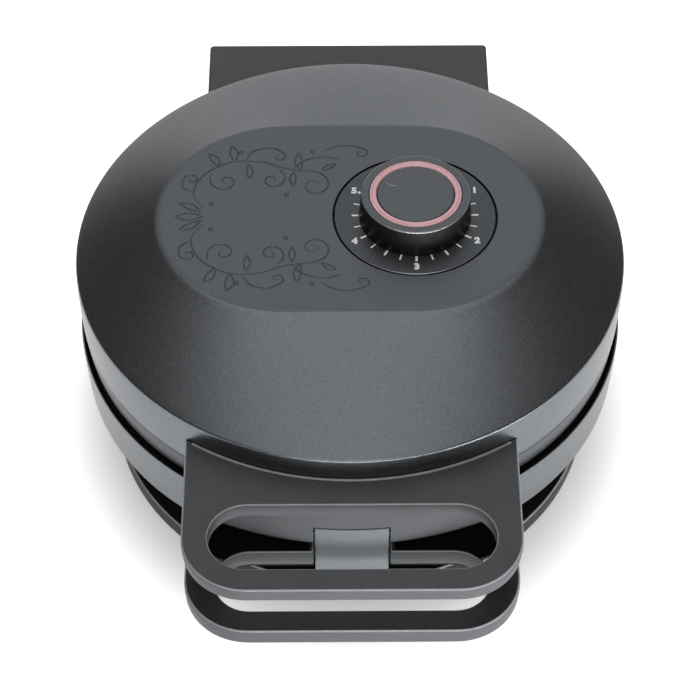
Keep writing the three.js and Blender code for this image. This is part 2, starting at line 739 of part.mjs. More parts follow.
function hingeCover() {
  const half = hingeWidth / 2;
  const near = skirtRadiusAt(handleTop) + turnedFit;
  const outline = (inset) => {
    const shape = new THREE.Shape();
    const [side, back, corner] = [half - inset, hingeReach - inset, hingeCorner];
    shape.moveTo(-side, 0);
    shape.lineTo(side, 0);
    shape.lineTo(side, back - corner);
    shape.absarc(side - corner, back - corner, corner, 0, halfTurn / 2, false);
    shape.lineTo(-side + corner, back);
    shape.absarc(-side + corner, back - corner, corner, halfTurn / 2, halfTurn, false);
    return shape;
  };
  const skirtSpace = rod(near, -everywhere, everywhere, rimSteps);
  const shellLow = hingeLevel + cheekRadius / 2;
  const outer = slab(outline(0), shellLow, handleTop, softEdge);
  const hollow = block(
    [-cheekInner, cheekInner], [0, hingeReach - hingeCoverWall], [-everywhere, handleTop - hingeCoverWall],
  );
  const eye = placed(rod(cheekRadius, cheekInner, half - softEdge, barrelSteps), 'x', 0, hingeY, hingeLevel);
  const arm = block(
    [cheekInner, half - softEdge], [hingeY - cheekRadius, hingeY + cheekRadius],
    [hingeLevel, shellLow + softEdge + cheekSink],
  );
  const sweep = placed(rod(barrelRadius + bossWall, -cheekInner, cheekInner), 'x', 0, hingeY, hingeLevel);
  const pinBore = placed(rod(hingePinRadius + fit, -everywhere, everywhere), 'x', 0, hingeY, hingeLevel);
  const headRod = rod(hingePinHead + fit, half - softEdge - hingePinHeadThick, everywhere);
  const headBore = placed(headRod, 'x', 0, hingeY, hingeLevel);
  const under = block([-everywhere, everywhere], [0, hingeY - cheekRadius], [-everywhere, lidLow + overrun]);
  const cheek = eye.add(arm);
  return outer.subtract(hollow).add(cheek).add(cheek.mirror([1, 0, 0])).subtract(sweep).subtract(skirtSpace)
    .subtract(under).subtract(pinBore).subtract(headBore).subtract(headBore.mirror([1, 0, 0]))
    .subtract(hingeCoverHoles());
}

function hingePin() {
  const end = hingeWidth / 2 - softEdge;
  const head = end - hingePinHeadThick + fit;
  return turned([
    [0, head - hingePinLength], [hingePinRadius, head - hingePinLength], [hingePinRadius, head],
    [hingePinHead, head], [hingePinHead, end], [0, end],
  ], smallSteps);
}

// Lid cover: a shell lofted from the round rim to the oblong flat top
const rimRound = 0.6;
const plateauRound = 2.5;
const plateauRoundDrop = 0.35;
const domeCrownShare = 0.12;
const slopeShares = [0.3, 0.65, 1];
const skirtShares = [0.5, 1];
const skirtBulge = 0.25;
const shoulderShare = 1.5;
const dialRadius = 36.7;
const dialCentre = 29.3;
const dialGroove = 0.6;
const dialDepth = 1.2;
const spindleRadius = 3;
const bushRadius = 5;
const lampOffset = 12;
const lampRadius = 2;
const lidPostInset = 6.4;
const lidPostCircle = frameLowRadius - lidPostInset;
const lidPostAngles = [45, 135, 225, 315];
const lidPostRadius = 3;

// Radius of the skirt's outside at a height
function skirtRadiusAt(height) {
  const share = (lidEdge - height) / skirtHeight;
  return lidRadius + (skirtLowRadius - lidRadius) * share + skirtBulge * Math.sin(halfTurn * share);
}

// Distance from the lid's axis to the edge of the flat top, in one direction
function plateauReach(angle) {
  const [c, s] = [Math.abs(Math.cos(angle)), Math.abs(Math.sin(angle))];
  const straight = s > 0 ? plateauRadius / s : everywhere;
  if (straight * c <= plateauCentre) return straight;
  return plateauCentre * c + Math.sqrt(plateauRadius ** 2 - (plateauCentre * s) ** 2);
}

// A closed skin over rows of points, with both ends capped. All rows have the same number of points.
function skin(rows) {
  const count = rows[0].length;
  const corners = rows.flat();
  const triangles = [];
  for (let row = 0; row + 1 < rows.length; row += 1) {
    for (let i = 0; i < count; i += 1) {
      const [a, b] = [row * count + i, row * count + (i + 1) % count];
      triangles.push(a, b, b + count, a, b + count, a + count);
    }
  }
  [0, rows.length - 1].forEach((row) => {
    const middle = corners.length;
    corners.push([0, 0, rows[row][0][2]]);
    for (let i = 0; i < count; i += 1) {
      const [a, b] = [row * count + i, row * count + (i + 1) % count];
      if (row === 0) triangles.push(middle, b, a);
      else triangles.push(middle, a, b);
    }
  });
  const geometry = new THREE.BufferGeometry();
  geometry.setAttribute('position', new THREE.Float32BufferAttribute(corners.flat(), 3));
  geometry.setIndex(triangles);
  return solidFrom(geometry);
}

function domeHeight(share) {
  return plateauTop - plateauRoundDrop
    - (domeRise - plateauRoundDrop) * (share - domeCrownShare * share * (1 - share));
}

function lidShell() {
  const angles = Array.from({ length: rimSteps }, (_, i) => 2 * halfTurn * i / rimSteps);
  const loop = (radiusAt, height) => angles.map((angle) => {
    const radius = radiusAt(angle);
    return [radius * Math.cos(angle), radius * Math.sin(angle), height];
  });
  const dome = (share, inset) => (angle) => {
    const edge = plateauReach(angle);
    return edge + (lidRadius - rimRound - edge) * share - inset;
  };
  const skirtRow = (share, inset) => {
    const height = lidEdge - rimRound - (skirtHeight - rimRound) * share;
    return loop(() => skirtRadiusAt(height) - inset, height);
  };
  const rows = [
    loop(dome(0, plateauRound), plateauTop),
    loop(dome(0, 0), domeHeight(0)),
    ...slopeShares.map((share) => loop(dome(share, 0), domeHeight(share))),
    loop(() => lidRadius, lidEdge - rimRound),
    ...skirtShares.map((share) => skirtRow(share, 0)),
    skirtRow(1, coverWall),
    loop(() => lidRadius - coverWall * shoulderShare, lidEdge - coverWall),
    loop(dome(1 / 2, coverWall / 2), domeHeight(1 / 2) - coverWall),
    loop(dome(0, plateauRound), plateauTop - coverWall),
  ];
  return skin(rows);
}

function lidCover() {
  const through = [plateauTop - coverWall - overrun, plateauTop + overrun];
  const recess = rod(dialRadius + dialGroove, plateauTop - dialDepth, plateauTop + overrun, knobSteps);
  const shaftHole = rod(bushRadius + fit, ...through);
  const lampHole = rod(lampRadius + fit, ...through, screwSteps);
  const cuts = recess.add(shaftHole).add(lampHole.translate([0, -lampOffset, 0]));
  const postLow = level(1, moatDepth + seatThick) + fit;
  const postTop = lidEdge - coverWall;
  const webReach = skirtRadiusAt(postLow) - coverWall / 2;
  const web = block([lidPostCircle, webReach], [-bossWall / 2, bossWall / 2], [skirtLow, postTop]);
  const post = rod(lidPostRadius, postLow, postTop, smallSteps).translate([lidPostCircle, 0, 0]).add(web);
  const hole = rod(screwHole, postLow - overrun, postTop - overrun, screwSteps).translate([lidPostCircle, 0, 0]);
  return lidShell().add(pads(upperSeat, handleScrewSpread, handleScrewLevel))
    .add(pads(coverSeat, coverScrewSpread, coverScrewLevel)).add(around(post, lidPostAngles))
    .subtract(around(hole, lidPostAngles)).subtract(cuts.translate([dialCentre, 0, 0]))
    .subtract(upperHandleHoles()).subtract(hingeCoverHoles());
}

// Lower ring of the lid, which carries the upper plate on its seat
function lidFrame() {
  const inner = frameLowRadius - wall;
  const ring = turned([
    [frameLowRadius, lidLow], [frameTopRadius, frameTop], [inner, frameTop],
    ...ledge(1, inner), [inner, lidLow],
  ], rimSteps);
  const ledgeTop = level(1, moatDepth + seatThick);
  const hole = rod(screwHole, lidLow, ledgeTop + overrun, screwSteps).translate([lidPostCircle, 0, 0]);
  return ring.subtract(around(hole, lidPostAngles));
}

// Latch: an eye on the pin, a plate flush with the handle's rear block, and a lip that points to the rear
function latch() {
  const [py, pz] = [-latchPivotReach, latchPivotLevel];
  const back = -latchFace + latchThick;
  const lipTop = lowerHandleLow - lipDrop;
  const topFace = -(blockLowRadius - blockDraft * (latchTop - lidLow) / (handleLow - lidLow));
  const outline = new THREE.Shape();
  outline.moveTo(topFace, latchTop);
  outline.lineTo(-latchFace, lidLow);
  outline.lineTo(-latchFace, latchLow + latchThick / 2);
  outline.lineTo(-latchFace + latchThick / 2, latchLow);
  outline.lineTo(back + lipReach / 2, latchLow);
  outline.lineTo(back + lipReach, lipTop - lipReach / 2);
  outline.lineTo(back + lipReach, lipTop);
  outline.lineTo(back, lipTop + fit);
  outline.lineTo(back, pz - latchEye);
  outline.lineTo(py + latchEye, pz - fit);
  outline.absarc(py, pz, latchEye, 0, halfTurn / 2, false);
  const body = solidFrom(new THREE.ExtrudeGeometry(outline, {
    depth: latchHalf * 2, steps: 1, bevelEnabled: false, curveSegments: curveSteps,
  }).translate(0, 0, -latchHalf));
  const bore = rod(latchPinRadius + fit, -everywhere, everywhere, screwSteps).translate([py, pz, 0]);
  const flush = turned([
    [0, 0], [latchFace, 0], [latchFace, lidLow], [blockTopRadius, handleLow], [0, handleLow],
  ], rimSteps);
  return body.subtract(bore).rotate([90, 0, 90]).intersect(flush);
}

// Dial, thermostat and lamp
const nutHeight = 2.4;
const nutGap = 2.4;
const thermostatSize = { x: 34, y: 26, z: 12 };
const bracketFlange = 8;
const collarGap = 4.6;
const collarRadius = 5;
const collarHeight = 6;
const flatShare = 0.6;
const lampBoardSize = { x: 16, y: 12, z: 1.6 };

function dialPlate() {
  const low = plateauTop - dialDepth + fit;
  const disc = turned([
    [bushRadius + fit, low], [dialRadius, low], [dialRadius, plateauTop - fit / 2],
    [dialRadius - fit, plateauTop], [bushRadius + fit, plateauTop],
  ], knobSteps);
  const lampHole = rod(lampRadius + fit, low - overrun, plateauTop + overrun, screwSteps);
  return disc.subtract(lampHole.translate([0, -lampOffset, 0])).translate([dialCentre, 0, 0]);
}

const bracketTop = plateauTop - coverWall - collarGap - collarHeight - thermostatSize.z - fit;

function thermostatBracket() {
  const foot = level(1, shieldFloor + sheetSteel) + fit;
  const [halfX, halfY] = [thermostatSize.x / 2, thermostatSize.y / 2];
  const top = block([-halfX, halfX], [-halfY, halfY], [bracketTop - sheetSteel, bracketTop]);
  const leg = block([halfX - sheetSteel, halfX], [-halfY, halfY], [foot, bracketTop]);
  const toe = block([halfX - sheetSteel, halfX + bracketFlange], [-halfY, halfY], [foot, foot + sheetSteel]);
  const side = leg.add(toe);
  return top.add(side).add(side.mirror([1, 0, 0])).translate([dialCentre, 0, 0]);
}

function thermostat() {
  const low = bracketTop + fit;
  const high = low + thermostatSize.z;
  const [halfX, halfY] = [thermostatSize.x / 2, thermostatSize.y / 2];
  const box = block([-halfX, halfX], [-halfY, halfY], [low, high]);
  const collar = rod(collarRadius, high - fit, high + collarHeight);
  const bore = rod(spindleRadius + fit, low + thermostatSize.z / 2, high + collarHeight + overrun, smallSteps);
  return box.add(collar).subtract(bore).translate([dialCentre, 0, 0]);
}

const spindleLow = bracketTop + fit * 2 + thermostatSize.z / 2;
const knobClearance = 0.5;
const knobLow = plateauTop + knobClearance;
const knobTop = plateauTop + knobHeight;

function dialSpindle() {
  const high = knobTop - guideProud - knobTopThick - fit;
  const shaft = rod(spindleRadius, spindleLow, high, smallSteps);
  const flat = block([spindleRadius * flatShare, everywhere], [-everywhere, everywhere], [knobLow, everywhere]);
  return shaft.subtract(flat).translate([dialCentre, 0, 0]);
}

function lampBoard() {
  const high = plateauTop - coverWall - fit;
  const low = high - lampBoardSize.z;
  const [halfX, halfY] = [lampBoardSize.x / 2, lampBoardSize.y / 2];
  const board = block([-halfX, halfX], [-lampOffset - halfY, -lampOffset + halfY], [low, high]);
  const lamp = rod(lampRadius, high - fit, plateauTop, screwSteps).translate([0, -lampOffset, 0]);
  return board.add(lamp).translate([dialCentre, 0, 0]);
}

// Knob with a ring of translucent plastic round its cap
const knobLowRadius = 25.5;
const knobDraft = 1.75;
const knobRimWidth = 3;
const guideWidth = 2.75;
const knobWall = 2.2;
const knobTopThick = 4.6;
const knobTopRadius = knobLowRadius - knobDraft;
const guideOuter = knobTopRadius - knobRimWidth;
const guideInner = guideOuter - guideWidth;
const guideProud = 0.3;
const guideDepth = 2.5;
const knobBoss = 5.6;
const pointerWidth = 0.8;
const pointerInset = 1.6;
const pointerLength = 5;
const pointerDepth = 0.3;
const pointerAngle = 150;

function knob() {
  const top = knobTop - guideProud;
  const floor = knobTop - guideDepth - fit;
  const roof = top - knobTopThick;
  const bossLow = knobLow + nutHeight + nutGap;
  const body = turned([
    [0, floor], [guideOuter + fit, floor], [guideOuter + fit, top], [knobTopRadius - softEdge, top],
    [knobTopRadius, top - softEdge], [knobLowRadius, knobLow], [knobLowRadius - knobWall, knobLow],
    [knobTopRadius - knobWall, roof], [knobBoss, roof], [knobBoss, bossLow], [0, bossLow],
  ], knobSteps);
  const bore = rod(spindleRadius + fit, knobLow, roof, smallSteps);
  return body.subtract(bore).translate([dialCentre, 0, 0]);
}

function knobLightRing() {
  const low = knobTop - guideDepth;
  return turned([
    [guideInner, low], [guideOuter, low], [guideOuter, knobTop], [guideInner, knobTop],
  ], knobSteps).translate([dialCentre, 0, 0]);
}

function knobCap() {
  const disc = rod(guideInner - fit, knobTop - guideDepth, knobTop - guideProud, knobSteps);
  const outer = guideInner - pointerInset;
  const line = block(
    [outer - pointerLength, outer], [-pointerWidth / 2, pointerWidth / 2],
    [knobTop - guideProud - pointerDepth, knobTop],
  ).rotate([0, 0, pointerAngle]);
  return disc.subtract(line).translate([dialCentre, 0, 0]);
}

// Wiring parts in the drum
const terminalSize = { x: 44, y: 18, z: 13 };
const terminalWays = 3;
const terminalHole = 1.8;
const terminalY = -34;
const fuseRadius = 2.6;
const fuseHalf = 11;
const fuseInset = 20;
const fuseY = fuseInset - plateBossCircle;

function terminalBlock() {
  const low = lipTop + fit;
  const high = low + terminalSize.z;
  const [halfX, halfY] = [terminalSize.x / 2, terminalSize.y / 2];
  const body = block([-halfX, halfX], [terminalY - halfY, terminalY + halfY], [low, high]);
  const hole = rod(terminalHole, high - terminalSize.z / 2, high + overrun, screwSteps);
  const pitch = terminalSize.x / terminalWays;
  const holes = Array.from({ length: terminalWays }, (_, i) => {
    const x = -halfX + pitch * (i + 1 / 2);
    return hole.translate([x, terminalY - halfY / 2, 0]).add(hole.translate([x, terminalY + halfY / 2, 0]));
  });
  return holes.reduce((solid, cut) => solid.subtract(cut), body);
}

function thermalFuse() {
  const height = level(-1, backLevel) - fit - fuseRadius;
  return placed(rod(fuseRadius, -fuseHalf, fuseHalf, screwSteps), 'x', 0, fuseY, height);
}

// Where the screws through the curved walls sit
const bowlInside = housingRadius - wall - fit;
const lowerSeat = -wallSeat(bowlInside, handleScrewSpread);
const hingeSeat = wallSeat(bowlInside, hingeScrewSpread);
const upperSeat = -wallSeat(skirtRadiusAt(handleScrewLevel) - coverWall, handleScrewSpread);
const coverSeat = wallSeat(skirtRadiusAt(coverScrewLevel) - coverWall, coverScrewSpread);

// Assembly: base
piece('base_plate', basePlate(), mattePlastic);
footAngles.forEach((angle, i) => {
  const seated = rubberFoot().translate([footCircle, 0, 0]).rotate([0, 0, angle]);
  piece(`foot_${i + 1}`, seated, softRubber);
});
piece('cord_drum', cordDrum(), blackPlastic);
piece('cord_gland', cordGland(), softRubber);
piece('lower_housing', lowerHousing(), satinPaint);
piece('lower_handle', lowerHandle(), mattePlastic);
piece('hinge_bracket', hingeBracket(), mattePlastic);
piece('terminal_block', terminalBlock(), whiteCeramic);
piece('thermal_fuse', thermalFuse(), plainSteel);
plateSet('lower', -1);

const longScrew = screw(screwHeadRadius, screwHeadHeight, screwRadius, longScrewLength);
baseScrewAngles.forEach((angle, i) => {
  const fromBelow = longScrew.translate([baseScrewCircle, 0, lipTop - wall - fit]).rotate([0, 0, angle]);
  piece(`base_screw_${i + 1}`, fromBelow, plainSteel);
  const fromAbove = placed(longScrew, 'down', baseScrewCircle, 0, hubLow + wall + fit).rotate([0, 0, angle]);
  piece(`drum_screw_${i + 1}`, fromAbove, plainSteel);
});
const handleScrew = screw(screwHeadRadius, screwHeadHeight, screwRadius, handleScrewDepth);
const forwardScrew = handleScrew.rotate([180, 0, 0]);
[-1, 1].forEach((side, i) => {
  const inner = placed(forwardScrew, 'y', side * handleScrewSpread, lowerSeat + fit, lowerScrewLevel);
  piece(`lower_handle_screw_${i + 1}`, inner, plainSteel);
});
[-1, 1].forEach((side, i) => {
  const inner = placed(handleScrew, 'y', side * hingeScrewSpread, hingeSeat - fit, hingeScrewLevel);
  piece(`hinge_screw_${i + 1}`, inner, plainSteel);
});

// Assembly: lid
piece('lid_cover', lidCover(), satinPaint);
piece('lid_frame', lidFrame(), satinPaint);
piece('upper_handle', upperHandle(), mattePlastic);
piece('hinge_cover', hingeCover(), mattePlastic);
piece('hinge_pin_1', placed(hingePin(), 'x', 0, hingeY, hingeLevel), plainSteel);
piece('hinge_pin_2', placed(hingePin(), 'x', 0, hingeY, hingeLevel).mirror([1, 0, 0]), plainSteel);
piece('dial_plate', dialPlate(), mattePlastic);
piece('thermostat_bracket', thermostatBracket(), plainSteel);
piece('thermostat', thermostat(), blackPlastic);
piece('lamp_board', lampBoard(), boardGreen);
plateSet('upper', 1);
lidPostAngles.forEach((angle, i) => {
  const fromBelow = longScrew.translate([lidPostCircle, 0, level(1, moatDepth) - fit]).rotate([0, 0, angle]);
  piece(`lid_screw_${i + 1}`, fromBelow, plainSteel);
});
[-1, 1].forEach((side, i) => {
  const inner = placed(forwardScrew, 'y', side * handleScrewSpread, upperSeat + fit, handleScrewLevel);
  piece(`upper_handle_screw_${i + 1}`, inner, plainSteel);
});
[-1, 1].forEach((side, i) => {
  const set = placed(longScrew, 'y', side * coverScrewSpread, coverSeat - fit, coverScrewLevel);
  piece(`hinge_cover_screw_${i + 1}`, set, plainSteel);
});
const latchPinHalf = latchHalf + latchSide + latchPinGrip;
const latchPin = rod(latchPinRadius, -latchPinHalf, latchPinHalf, screwSteps);
piece('latch_pin', placed(latchPin, 'x', 0, -latchPivotReach, latchPivotLevel), plainSteel);

// Assembly: latch and knob
piece('latch', latch(), latchPlastic);
piece('dial_spindle', dialSpindle(), plainSteel);
piece('knob', knob(), blackPlastic);
piece('knob_light_ring', knobLightRing(), lightGuide);
piece('knob_cap', knobCap(), mattePlastic);

// The frame's origin is on the table, under the middle of the whole object.
kit.position.y = (handleReach - hingeReach) / 2;
const krumkakeMaker = new THREE.Group();
krumkakeMaker.add(kit);

export default krumkakeMaker;
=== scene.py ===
import math

import bmesh
import bpy
from mathutils import Matrix, Vector
from mathutils.geometry import tessellate_polygon


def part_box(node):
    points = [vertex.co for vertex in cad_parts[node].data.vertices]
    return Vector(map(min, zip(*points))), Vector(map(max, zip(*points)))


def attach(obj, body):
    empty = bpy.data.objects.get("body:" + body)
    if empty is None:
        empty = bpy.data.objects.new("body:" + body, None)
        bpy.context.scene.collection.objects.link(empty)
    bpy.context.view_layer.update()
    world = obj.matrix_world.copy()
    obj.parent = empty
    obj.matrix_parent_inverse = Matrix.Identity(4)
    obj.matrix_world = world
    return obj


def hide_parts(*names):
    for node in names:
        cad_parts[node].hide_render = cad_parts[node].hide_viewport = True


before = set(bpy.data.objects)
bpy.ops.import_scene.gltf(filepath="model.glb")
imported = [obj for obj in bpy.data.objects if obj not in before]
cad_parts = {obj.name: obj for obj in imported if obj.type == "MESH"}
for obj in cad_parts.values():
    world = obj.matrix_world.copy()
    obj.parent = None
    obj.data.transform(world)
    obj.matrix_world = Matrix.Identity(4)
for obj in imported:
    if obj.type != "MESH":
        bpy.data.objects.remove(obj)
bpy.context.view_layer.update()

# The looks of a krumkake maker. Lengths are in mm, heights from the table,
# plan places from the axis of the round lid. placed() turns both into metres.
mm = 0.001


def frameBox(node):
    low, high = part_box(node)
    return [v / mm for v in low], [v / mm for v in high]


lidLow, lidHigh = frameBox("lid_cover")
axisY = (lidLow[1] + lidHigh[1]) / 2
lidRadius = (lidHigh[0] - lidLow[0]) / 2
plateauLevel = lidHigh[2]
lidLevel = frameBox("lid_frame")[0][2]
frameBand = 12.4  # height of the lid's lower ring
seamGap = 0.3
skirtLevel = lidLevel + frameBand + seamGap
housingHigh = frameBox("lower_housing")[1]
housingTop = housingHigh[2]
housingRadius = housingHigh[0]
parting = (housingTop + lidLevel) / 2
upperHandleTop = frameBox("upper_handle")[1][2]
lowerHandleTop = frameBox("lower_handle")[1][2]
print("frame: lid radius %.1f mm, axis at y %.1f mm" % (lidRadius, axisY))


# Colours and nodes

def colour(code):
    parts = [int(code[i:i + 2], 16) / 255 for i in (1, 3, 5)]
    linear = [c / 12.92 if c <= 0.04045 else ((c + 0.055) / 1.055) ** 2.4 for c in parts]
    return (*linear, 1.0)


# Adds a node, sets its properties, and fills its inputs with values or links.
# A key such as i0 is an input's number, any other key its name.
def addNode(tree, kind, settings=None, **inputs):
    node = tree.nodes.new(kind)
    for key, value in (settings or {}).items():
        setattr(node, key, value)
    for key, value in inputs.items():
        socket = node.inputs[int(key[1:]) if key[1:].isdigit() else key.replace("_", " ")]
        if isinstance(value, bpy.types.NodeSocket):
            tree.links.new(value, socket)
        else:
            socket.default_value = value
    return node


# A material with its shader's own sockets set. detail() links patterns to its colour, roughness and normal.
def material(name, base, roughness, metallic, detail, **sockets):
    made = bpy.data.materials.new(name)
    made.use_nodes = True
    tree = made.node_tree
    shader = tree.nodes["Principled BSDF"]
    shader.inputs["Base Color"].default_value = colour(base)
    shader.inputs["Roughness"].default_value = roughness
    shader.inputs["Metallic"].default_value = metallic
    for key, value in sockets.items():
        shader.inputs[key.replace("_", " ")].default_value = value
    detail(tree, shader, addNode(tree, "ShaderNodeTexCoord").outputs["Object"])
    return made


# The scale of a pattern, from the size of its features in mm
def perMetre(size):
    return 1 / (size * mm)


# Mixes two colours by a pattern and sends the result to the base colour.
def tint(tree, shader, factor, low, high, start=0.3, end=0.7):
    ramp = addNode(tree, "ShaderNodeMapRange", None, Value=factor, From_Min=start, From_Max=end)
    mix = addNode(tree, "ShaderNodeMix", {"data_type": "RGBA"},
                  i0=ramp.outputs[0], i6=colour(low), i7=colour(high))
    tree.links.new(mix.outputs[2], shader.inputs["Base Color"])


# Lets the roughness follow a pattern.
def vary(tree, shader, factor, low, high):
    ramp = addNode(tree, "ShaderNodeMapRange", None, Value=factor, To_Min=low, To_Max=high)
    tree.links.new(ramp.outputs[0], shader.inputs["Roughness"])


# A finish whose colour, roughness and bump all follow one grain. Its size and depth are in mm.
def grained(size, colours, gloss=None, depth=0, octaves=3.0):
    def detail(tree, shader, place):
        grain = addNode(tree, "ShaderNodeTexNoise", None, Vector=place, Scale=perMetre(size),
                        Detail=octaves).outputs[0]
        tint(tree, shader, grain, *colours)
        if gloss:
            vary(tree, shader, grain, *gloss)
        if depth:
            raised = addNode(tree, "ShaderNodeBump", None, Height=grain, Distance=depth * mm)
            tree.links.new(raised.outputs[0], shader.inputs["Normal"])
    return detail


# Moulded ABS sprayed with a dark grey metallic lacquer: satin, with a fine sparkle where flakes catch
# the light.
lacquer = dict(
    flake=0.5, base="#64676a", bright="#75787b", gloss=(0.28, 0.36), flakeDepth=0.006, flakeStrength=0.6,
    orangePeel=2.2, peelDepth=0.003,
)


def lacquerDetail(tree, shader, place):
    k = lacquer
    cells = addNode(tree, "ShaderNodeTexVoronoi", None, Vector=place, Scale=perMetre(k["flake"]))
    flake = cells.outputs["Color"]
    tint(tree, shader, flake, k["base"], k["bright"], 0.2, 1.0)
    vary(tree, shader, flake, *k["gloss"])
    peel = addNode(tree, "ShaderNodeTexNoise", None, Vector=place, Scale=perMetre(k["orangePeel"]))
    skin = addNode(tree, "ShaderNodeBump", None, Height=peel.outputs[0], Distance=k["peelDepth"] * mm)
    flakes = addNode(tree, "ShaderNodeBump", None, Height=flake, Distance=k["flakeDepth"] * mm,
                     Strength=k["flakeStrength"], Normal=skin.outputs[0])
    tree.links.new(flakes.outputs[0], shader.inputs["Normal"])


metallicLacquer = material("metallic_lacquer_on_abs", "#6c6f73", 0.32, 0.97, lacquerDetail,
                           Specular_Tint=colour("#ececec"))

# The same lacquer on the flat top, laid over a finer, duller texture that was etched into the mould.
etchedLacquer = material("etched_lacquer_on_abs", "#65686b", 0.5, 0.9,
                         grained(0.7, ("#5e6164", "#6b6e71"), (0.46, 0.6), 0.02))

# The etched finish in a darker shade and a little glossier, for the scale disc and the lid's lower ring. On
# the lower ring the darker shade is painted shade.
scaleLacquer = material("scale_lacquer_on_abs", "#505356", 0.46, 0.9,
                        grained(0.7, ("#4b4e51", "#55585b"), (0.4, 0.52), 0.012))

# Injection-moulded glass-filled nylon for the handles and the hinge: matte, with an even spark-eroded grain.
# The grain is about 0.3 mm on such handles, and 0.7 mm here so that it shows. The cloud makes its shade
# slightly uneven.
nylon = dict(
    grain=0.7, cloud=18, cloudShare=0.4, low="#37393c", high="#484a4d", gloss=(0.46, 0.6), depth=0.04,
)


def nylonDetail(tree, shader, place):
    n = nylon
    grain = addNode(tree, "ShaderNodeTexNoise", None, Vector=place, Scale=perMetre(n["grain"]), Detail=2.0)
    cloud = addNode(tree, "ShaderNodeTexNoise", None, Vector=place, Scale=perMetre(n["cloud"]), Detail=3.0)
    share = addNode(tree, "ShaderNodeMath", {"operation": "MULTIPLY"},
                    i0=grain.outputs[0], i1=1 - n["cloudShare"])
    mixed = addNode(tree, "ShaderNodeMath", {"operation": "MULTIPLY_ADD"},
                    i0=cloud.outputs[0], i1=n["cloudShare"], i2=share.outputs[0])
    tint(tree, shader, mixed.outputs[0], n["low"], n["high"])
    vary(tree, shader, grain.outputs[0], *n["gloss"])
    raised = addNode(tree, "ShaderNodeBump", None, Height=grain.outputs[0], Distance=n["depth"] * mm)
    tree.links.new(raised.outputs[0], shader.inputs["Normal"])


grainedNylon = material("grained_nylon", "#3f4144", 0.52, 0.0, nylonDetail)

# Darker, smoother nylon for the base tray and the top of the lower bar. Its darkness is painted shade: the
# shade under the bowl and under the upper bar.
paintedShadeNylon = material("painted_shade_nylon", "#212324", 0.5, 0.0,
                     grained(0.7, ("#1d1f20", "#252729"), (0.44, 0.58), 0.03, 2.0), Specular_IOR_Level=0.4)

# Lighter, shinier nylon: a painted highlight on the handles' rounded edges, their rear bead and the tray's
# lip.
paintedHighlightNylon = material("painted_highlight_nylon", "#8e9195", 0.3, 0.0,
                         grained(3, ("#85888c", "#96999d"), (0.24, 0.36)))

# The latch is a lighter grey nylon, polished a little by thumbs.
latchNylon = material("grey_nylon", "#575c60", 0.46, 0.0,
                      grained(0.9, ("#5a6063", "#656b6f"), (0.4, 0.52), 0.02, 2.0))

# Lighter, shinier lacquer: a painted highlight on the rims of the knob and the scale disc and on the pointer.
paintedHighlightEdge = material("painted_highlight_edge", "#8d9093", 0.3, 0.9,
                      grained(2.5, ("#85888b", "#a2a5a8"), (0.24, 0.36)))

# The knob's side is polished black ABS: a deep black with a soft sheen.
polishedAbs = material("polished_abs", "#0b0b0b", 0.4, 0.0, grained(7, ("#080909", "#0d0e0e"), (0.34, 0.46)),
                       Specular_IOR_Level=0.35)


# Moulded polypropylene for the thermostat's body: black, slightly waxy, with faint flow marks.
def polypropyleneDetail(tree, shader, place):
    flow = addNode(tree, "ShaderNodeTexNoise", None, Vector=place, Scale=perMetre(30), Detail=4.0)
    grain = addNode(tree, "ShaderNodeTexNoise", None, Vector=place, Scale=perMetre(0.8), Detail=2.0)
    tint(tree, shader, flow.outputs[0], "#121314", "#181a1b")
    vary(tree, shader, flow.outputs[0], 0.42, 0.55)
    raised = addNode(tree, "ShaderNodeBump", None, Height=grain.outputs[0], Distance=0.02 * mm)
    tree.links.new(raised.outputs[0], shader.inputs["Normal"])


blackPolypropylene = material("black_polypropylene", "#151617", 0.48, 0.0, polypropyleneDetail)

# The same with its mould's coarse grain: a dull black that hardly shines. This black is painted shade: the
# drum, the tray's top, the web behind the lower bar, the floor under the bar's hollows and the floor of the
# dial's well get it where they lie in deep shade.
paintedShadeBlack = material("painted_shade_black_polypropylene", "#0b0c0d", 0.78, 0.0,
                               grained(0.9, ("#08090a", "#0e0f10"), (0.7, 0.85), 0.05),
                               Specular_IOR_Level=0.2)


# Cast aluminium under a black non-stick coating: a soft sheen over the casting's faint pebbling, with stains.
def castDetail(tree, shader, place):
    pebble = addNode(tree, "ShaderNodeTexNoise", None, Vector=place, Scale=perMetre(1.4), Detail=3.0)
    stain = addNode(tree, "ShaderNodeTexNoise", None, Vector=place, Scale=perMetre(35), Detail=3.0)
    tint(tree, shader, stain.outputs[0], "#222221", "#2e2c2a")
    vary(tree, shader, pebble.outputs[0], 0.34, 0.48)
    raised = addNode(tree, "ShaderNodeBump", None, Height=pebble.outputs[0], Distance=0.05 * mm)
    tree.links.new(raised.outputs[0], shader.inputs["Normal"])


coatedCasting = material("nonstick_cast_aluminium", "#282726", 0.4, 0.2, castDetail)

# Zinc-plated steel for screws, pins, pans and tubes: pale, with patches from the plating bath.
zincSteel = material("zinc_plated_steel", "#a3a5a6", 0.32, 1.0,
                     grained(4, ("#8f9294", "#b4b6b7"), (0.25, 0.42)))

# Dark steel for the latch's pin, with an oily sheen. Its darkness is painted shade, for the dark gaps beside
# the latch where the pin shows.
paintedShadeSteel = material("painted_shade_dark_steel", "#2c2d2f", 0.45, 1.0,
                          grained(2, ("#222325", "#343638"), (0.38, 0.52)))

# Moulded rubber for the feet and the cord's bush: dead matte, a little dusty.
mouldedRubber = material("moulded_rubber", "#1b1b1b", 0.85, 0.0,
                         grained(3, ("#161616", "#212120"), depth=0.03, octaves=4.0))

